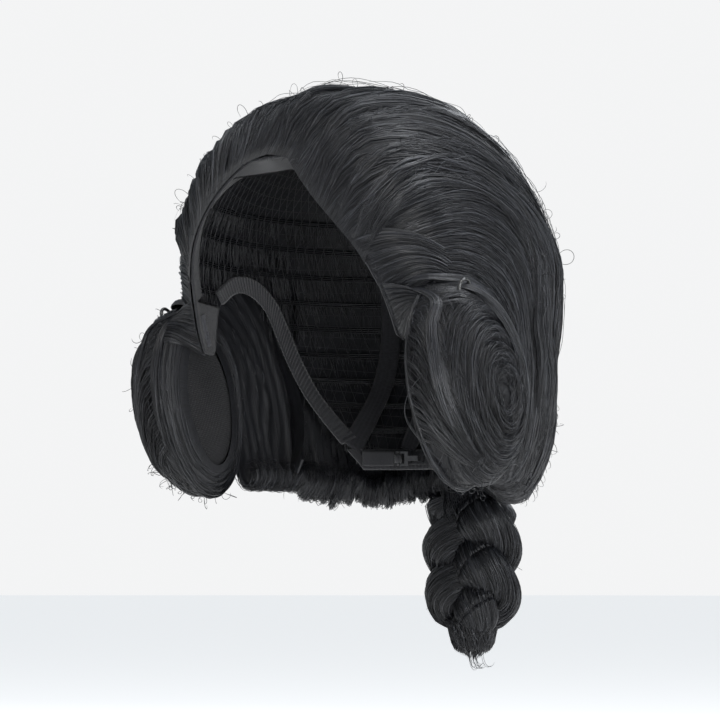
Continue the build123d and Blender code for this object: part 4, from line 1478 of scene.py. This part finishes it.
# ---------------------------------------------------------------- small cap parts
def parting_strip():
    form = head(2.9)
    x, y = np.linspace(-7, 7, 15)[:, None], np.linspace(-66, -31, 40)[None, :]
    level = 1 - (x / form.widest) ** 2 - (y / (form.widest * form.ratio)) ** 2
    points = vec(x, y, WIDEST_Z + (form.top - WIDEST_Z) * np.sqrt(np.maximum(level, 0)))
    place(slab("parting_strip_lace", points, form.normal(points), 0.7, skin_lace),
          "parting_strip")


def size_label():
    """A cloth label inside the nape, with a slight bulge inwards."""
    form = head(-0.6)
    x, z = np.linspace(13, -13, 27)[:, None], np.linspace(-33, -19, 15)[None, :]
    radius = form.radius(z)
    points = vec(x, radius * form.ratio * np.sqrt(1 - (x / radius) ** 2), z)
    normals = form.normal(points)
    bulge = 0.5 * np.sin((x + 13) / 26 * PI) * np.sin((z + 33) / 14 * PI)
    place(slab("size_label_cloth", lifted(points, normals, -bulge), normals, 0.5, label_mat),
          "size_label")


ADJUSTER_RADIUS, ADJUSTER_Y = 50.0, 13.0       # the arc that both straps follow


def adjuster(side, label):
    """A ribbed elastic strap, and the sewn loop round the hook's bar at its end."""
    angle = np.radians(np.linspace(29.4, 49.0, 60))[:, None]
    z = np.linspace(-47.9, -40.1, 9)[None, :]
    normals = vec(np.sin(angle), np.cos(angle), 0 * z)
    reach = ADJUSTER_RADIUS + 0.10 * np.sin(np.linspace(0, 30 * TURN, 60))[:, None]
    points = vec(reach * np.sin(angle), ADJUSTER_Y + reach * np.cos(angle), z)
    points, normals = mirror(points, side), mirror(normals, side)
    if side < 0:
        points, normals = points[::-1], normals[::-1]
    strap = slab(f"{label}_adjuster_elastic", points, normals, 0.9, elastic_mat)
    place(strap, body=f"{label}_adjuster")
    bar = math.radians(27)
    spokes = 32
    spin = np.linspace(0, TURN, spokes, endpoint=False)[:, None]
    # section of the loop: radius and z of its four corners
    reach = np.array([[0.95, 1.9, 1.9, 0.95]])
    z = np.array([[-46.3, -46.3, -41.7, -41.7]])
    points = vec(side * ADJUSTER_RADIUS * math.sin(bar) + reach * np.cos(spin),
                 ADJUSTER_Y + ADJUSTER_RADIUS * math.cos(bar) + reach * np.sin(spin), z)
    loop = build(f"{label}_adjuster_bar_loop", points, grid_faces(spokes, 4, True, True),
                 grid_uv(spokes + 1, 5), [elastic_mat])
    place(loop, f"{label}_adjuster_strap", f"{label}_adjuster")


def roll_pad(side, label):
    """A knitted egg inside the roll, flat against the head."""
    spokes, rings = 96, 48
    half_width, half_height = 21, 40
    phi = np.linspace(0, TURN, spokes, endpoint=False)[:, None]
    theta = np.linspace(-PI / 2 + 0.10, PI / 2 - 0.10, rings)[None, :]
    knit = 1 + 0.012 * np.sin(48 * phi) * np.sin(26 * theta * 2)
    x = half_width * np.cos(theta) * np.cos(phi) * knit
    back = half_width * np.cos(theta) * np.sin(phi) * knit
    up = half_height * np.sin(theta) * knit
    points = (ROLL_CENTRE - 3.0 * OUT + x[..., None] * OUT + back[..., None] * ROLL_BACK
              + up[..., None] * ROLL_UP)
    points[..., 0] = np.maximum(points[..., 0], 79.5)
    points = mirror(points, side)
    verts = np.vstack([points.reshape(-1, 3), points[:, 0].mean(0)[None],
                       points[:, -1].mean(0)[None]])
    size = spokes * rings
    foot = np.arange(spokes) * rings
    tris = np.vstack([fan(size, foot), fan(size + 1, foot + rings - 1)[:, [0, 2, 1]]])
    ob = build(f"{label}_roll_pad_knit", verts, grid_faces(spokes, rings, wrap_rows=True),
               grid_uv(spokes + 1, rings), [pad_mat], tris, flip=side < 0)
    place(ob, f"{label}_roll_pad")


parting_strip()
size_label()
for side, label in SIDES:
    adjuster(side, label)
for side, label in SIDES:
    roll_pad(side, label)


def cad_finish(name):
    """Material and slot of a CAD piece that is shown as it is."""
    if "hairpin" in name:
        return lacquer_mat, "pin"
    if "hook" in name:
        return nylon_mat, "hook"
    if "stay" in name:
        return stay_mat, "stay"
    if name == "loop_tape":
        return elastic_mat, "elastic"
    return None


for name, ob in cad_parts.items():
    finish = None if ob.hide_render else cad_finish(name)
    if finish:
        ob.data.materials.clear()
        ob.data.materials.append(finish[0])
        for polygon in ob.data.polygons:
            polygon.use_smooth = True

# ---------------------------------------------------------------- stage, light and camera (metres)
bpy.ops.mesh.primitive_plane_add(size=80, location=(0, 0, -0.30))
floor = bpy.context.object
floor.name = "floor"
paper, paper_shader = principled("floor_paper", color=(0.90, 0.90, 0.89), rough=0.8, spec=0.2)
paper_shader.inputs["Emission Color"].default_value = (1, 1, 1, 1)
paper_shader.inputs["Emission Strength"].default_value = 0.60
floor.data.materials.append(paper)


def studio_world():
    """A dim blue sky that lights the scene, and a near-white one that the camera sees."""
    world = bpy.data.worlds.new("studio")
    bpy.context.scene.world = world
    world.use_nodes = True
    nodes, link = world.node_tree.nodes, world.node_tree.links.new
    lighting = nodes["Background"]
    lighting.inputs["Color"].default_value = (0.80, 0.90, 1.0, 1)
    lighting.inputs["Strength"].default_value = 0.30
    seen = nodes.new("ShaderNodeBackground")
    seen.inputs["Color"].default_value = (0.98, 0.985, 0.99, 1)
    seen.inputs["Strength"].default_value = 0.92
    path = nodes.new("ShaderNodeLightPath")
    pick = nodes.new("ShaderNodeMixShader")
    link(path.outputs["Is Camera Ray"], pick.inputs[0])
    link(lighting.outputs[0], pick.inputs[1])
    link(seen.outputs[0], pick.inputs[2])
    link(pick.outputs[0], nodes["World Output"].inputs["Surface"])


def aim(ob, target):
    ob.rotation_mode = "QUATERNION"
    ob.rotation_quaternion = (Vector(target) - ob.location).to_track_quat("-Z", "Y")


def area(name, location, size, power, target=(0, 0, 0), color=(1, 1, 1)):
    data = bpy.data.lights.new(name, "AREA")
    data.shape, data.size, data.energy, data.color = "DISK", size, power, color
    ob = bpy.data.objects.new(name, data)
    bpy.context.scene.collection.objects.link(ob)
    ob.location = location
    aim(ob, target)


studio_world()
COOL = (0.93, 0.96, 1.0)
area("key", (0.9, -1.3, 1.5), size=0.9, power=30, target=(0, 0, 0.05), color=(1.0, 0.99, 0.97))
area("top", (0.5, 0.3, 1.7), size=0.9, power=26, color=COOL)
area("side", (1.7, 0.5, 0.7), size=0.7, power=20, color=COOL)
area("fill", (-1.6, -0.9, 0.5), size=1.2, power=8)
area("back", (-0.6, 1.7, 1.0), size=0.8, power=16, color=COOL)
area("low", (1.15, -0.75, -0.16), size=0.5, power=13, target=(0, 0.09, -0.11),
     color=(0.96, 0.98, 1.0))

CAMERA_TURN = math.radians(41.0)   # from straight in front, towards the wearer's left
CAMERA_DISTANCE = 1.30
VIEW_WIDTH = 0.37                  # width seen at that distance
view = Vector((-math.sin(CAMERA_TURN), math.cos(CAMERA_TURN), 0))
right = Vector((math.cos(CAMERA_TURN), math.sin(CAMERA_TURN), 0))
cam_data = bpy.data.cameras.new("camera")
cam = bpy.data.objects.new("camera", cam_data)
bpy.context.scene.collection.objects.link(cam)
cam.location = -view * CAMERA_DISTANCE - right * 0.0043 + Vector((0, 0, -0.112))
aim(cam, (0, 0, 0.004))
cam_data.sensor_width = 36
cam_data.lens = 36 * CAMERA_DISTANCE / VIEW_WIDTH
cam_data.clip_start, cam_data.clip_end = 0.01, 50
bpy.context.scene.camera = cam
bpy.context.scene.view_settings.view_transform = "Standard"
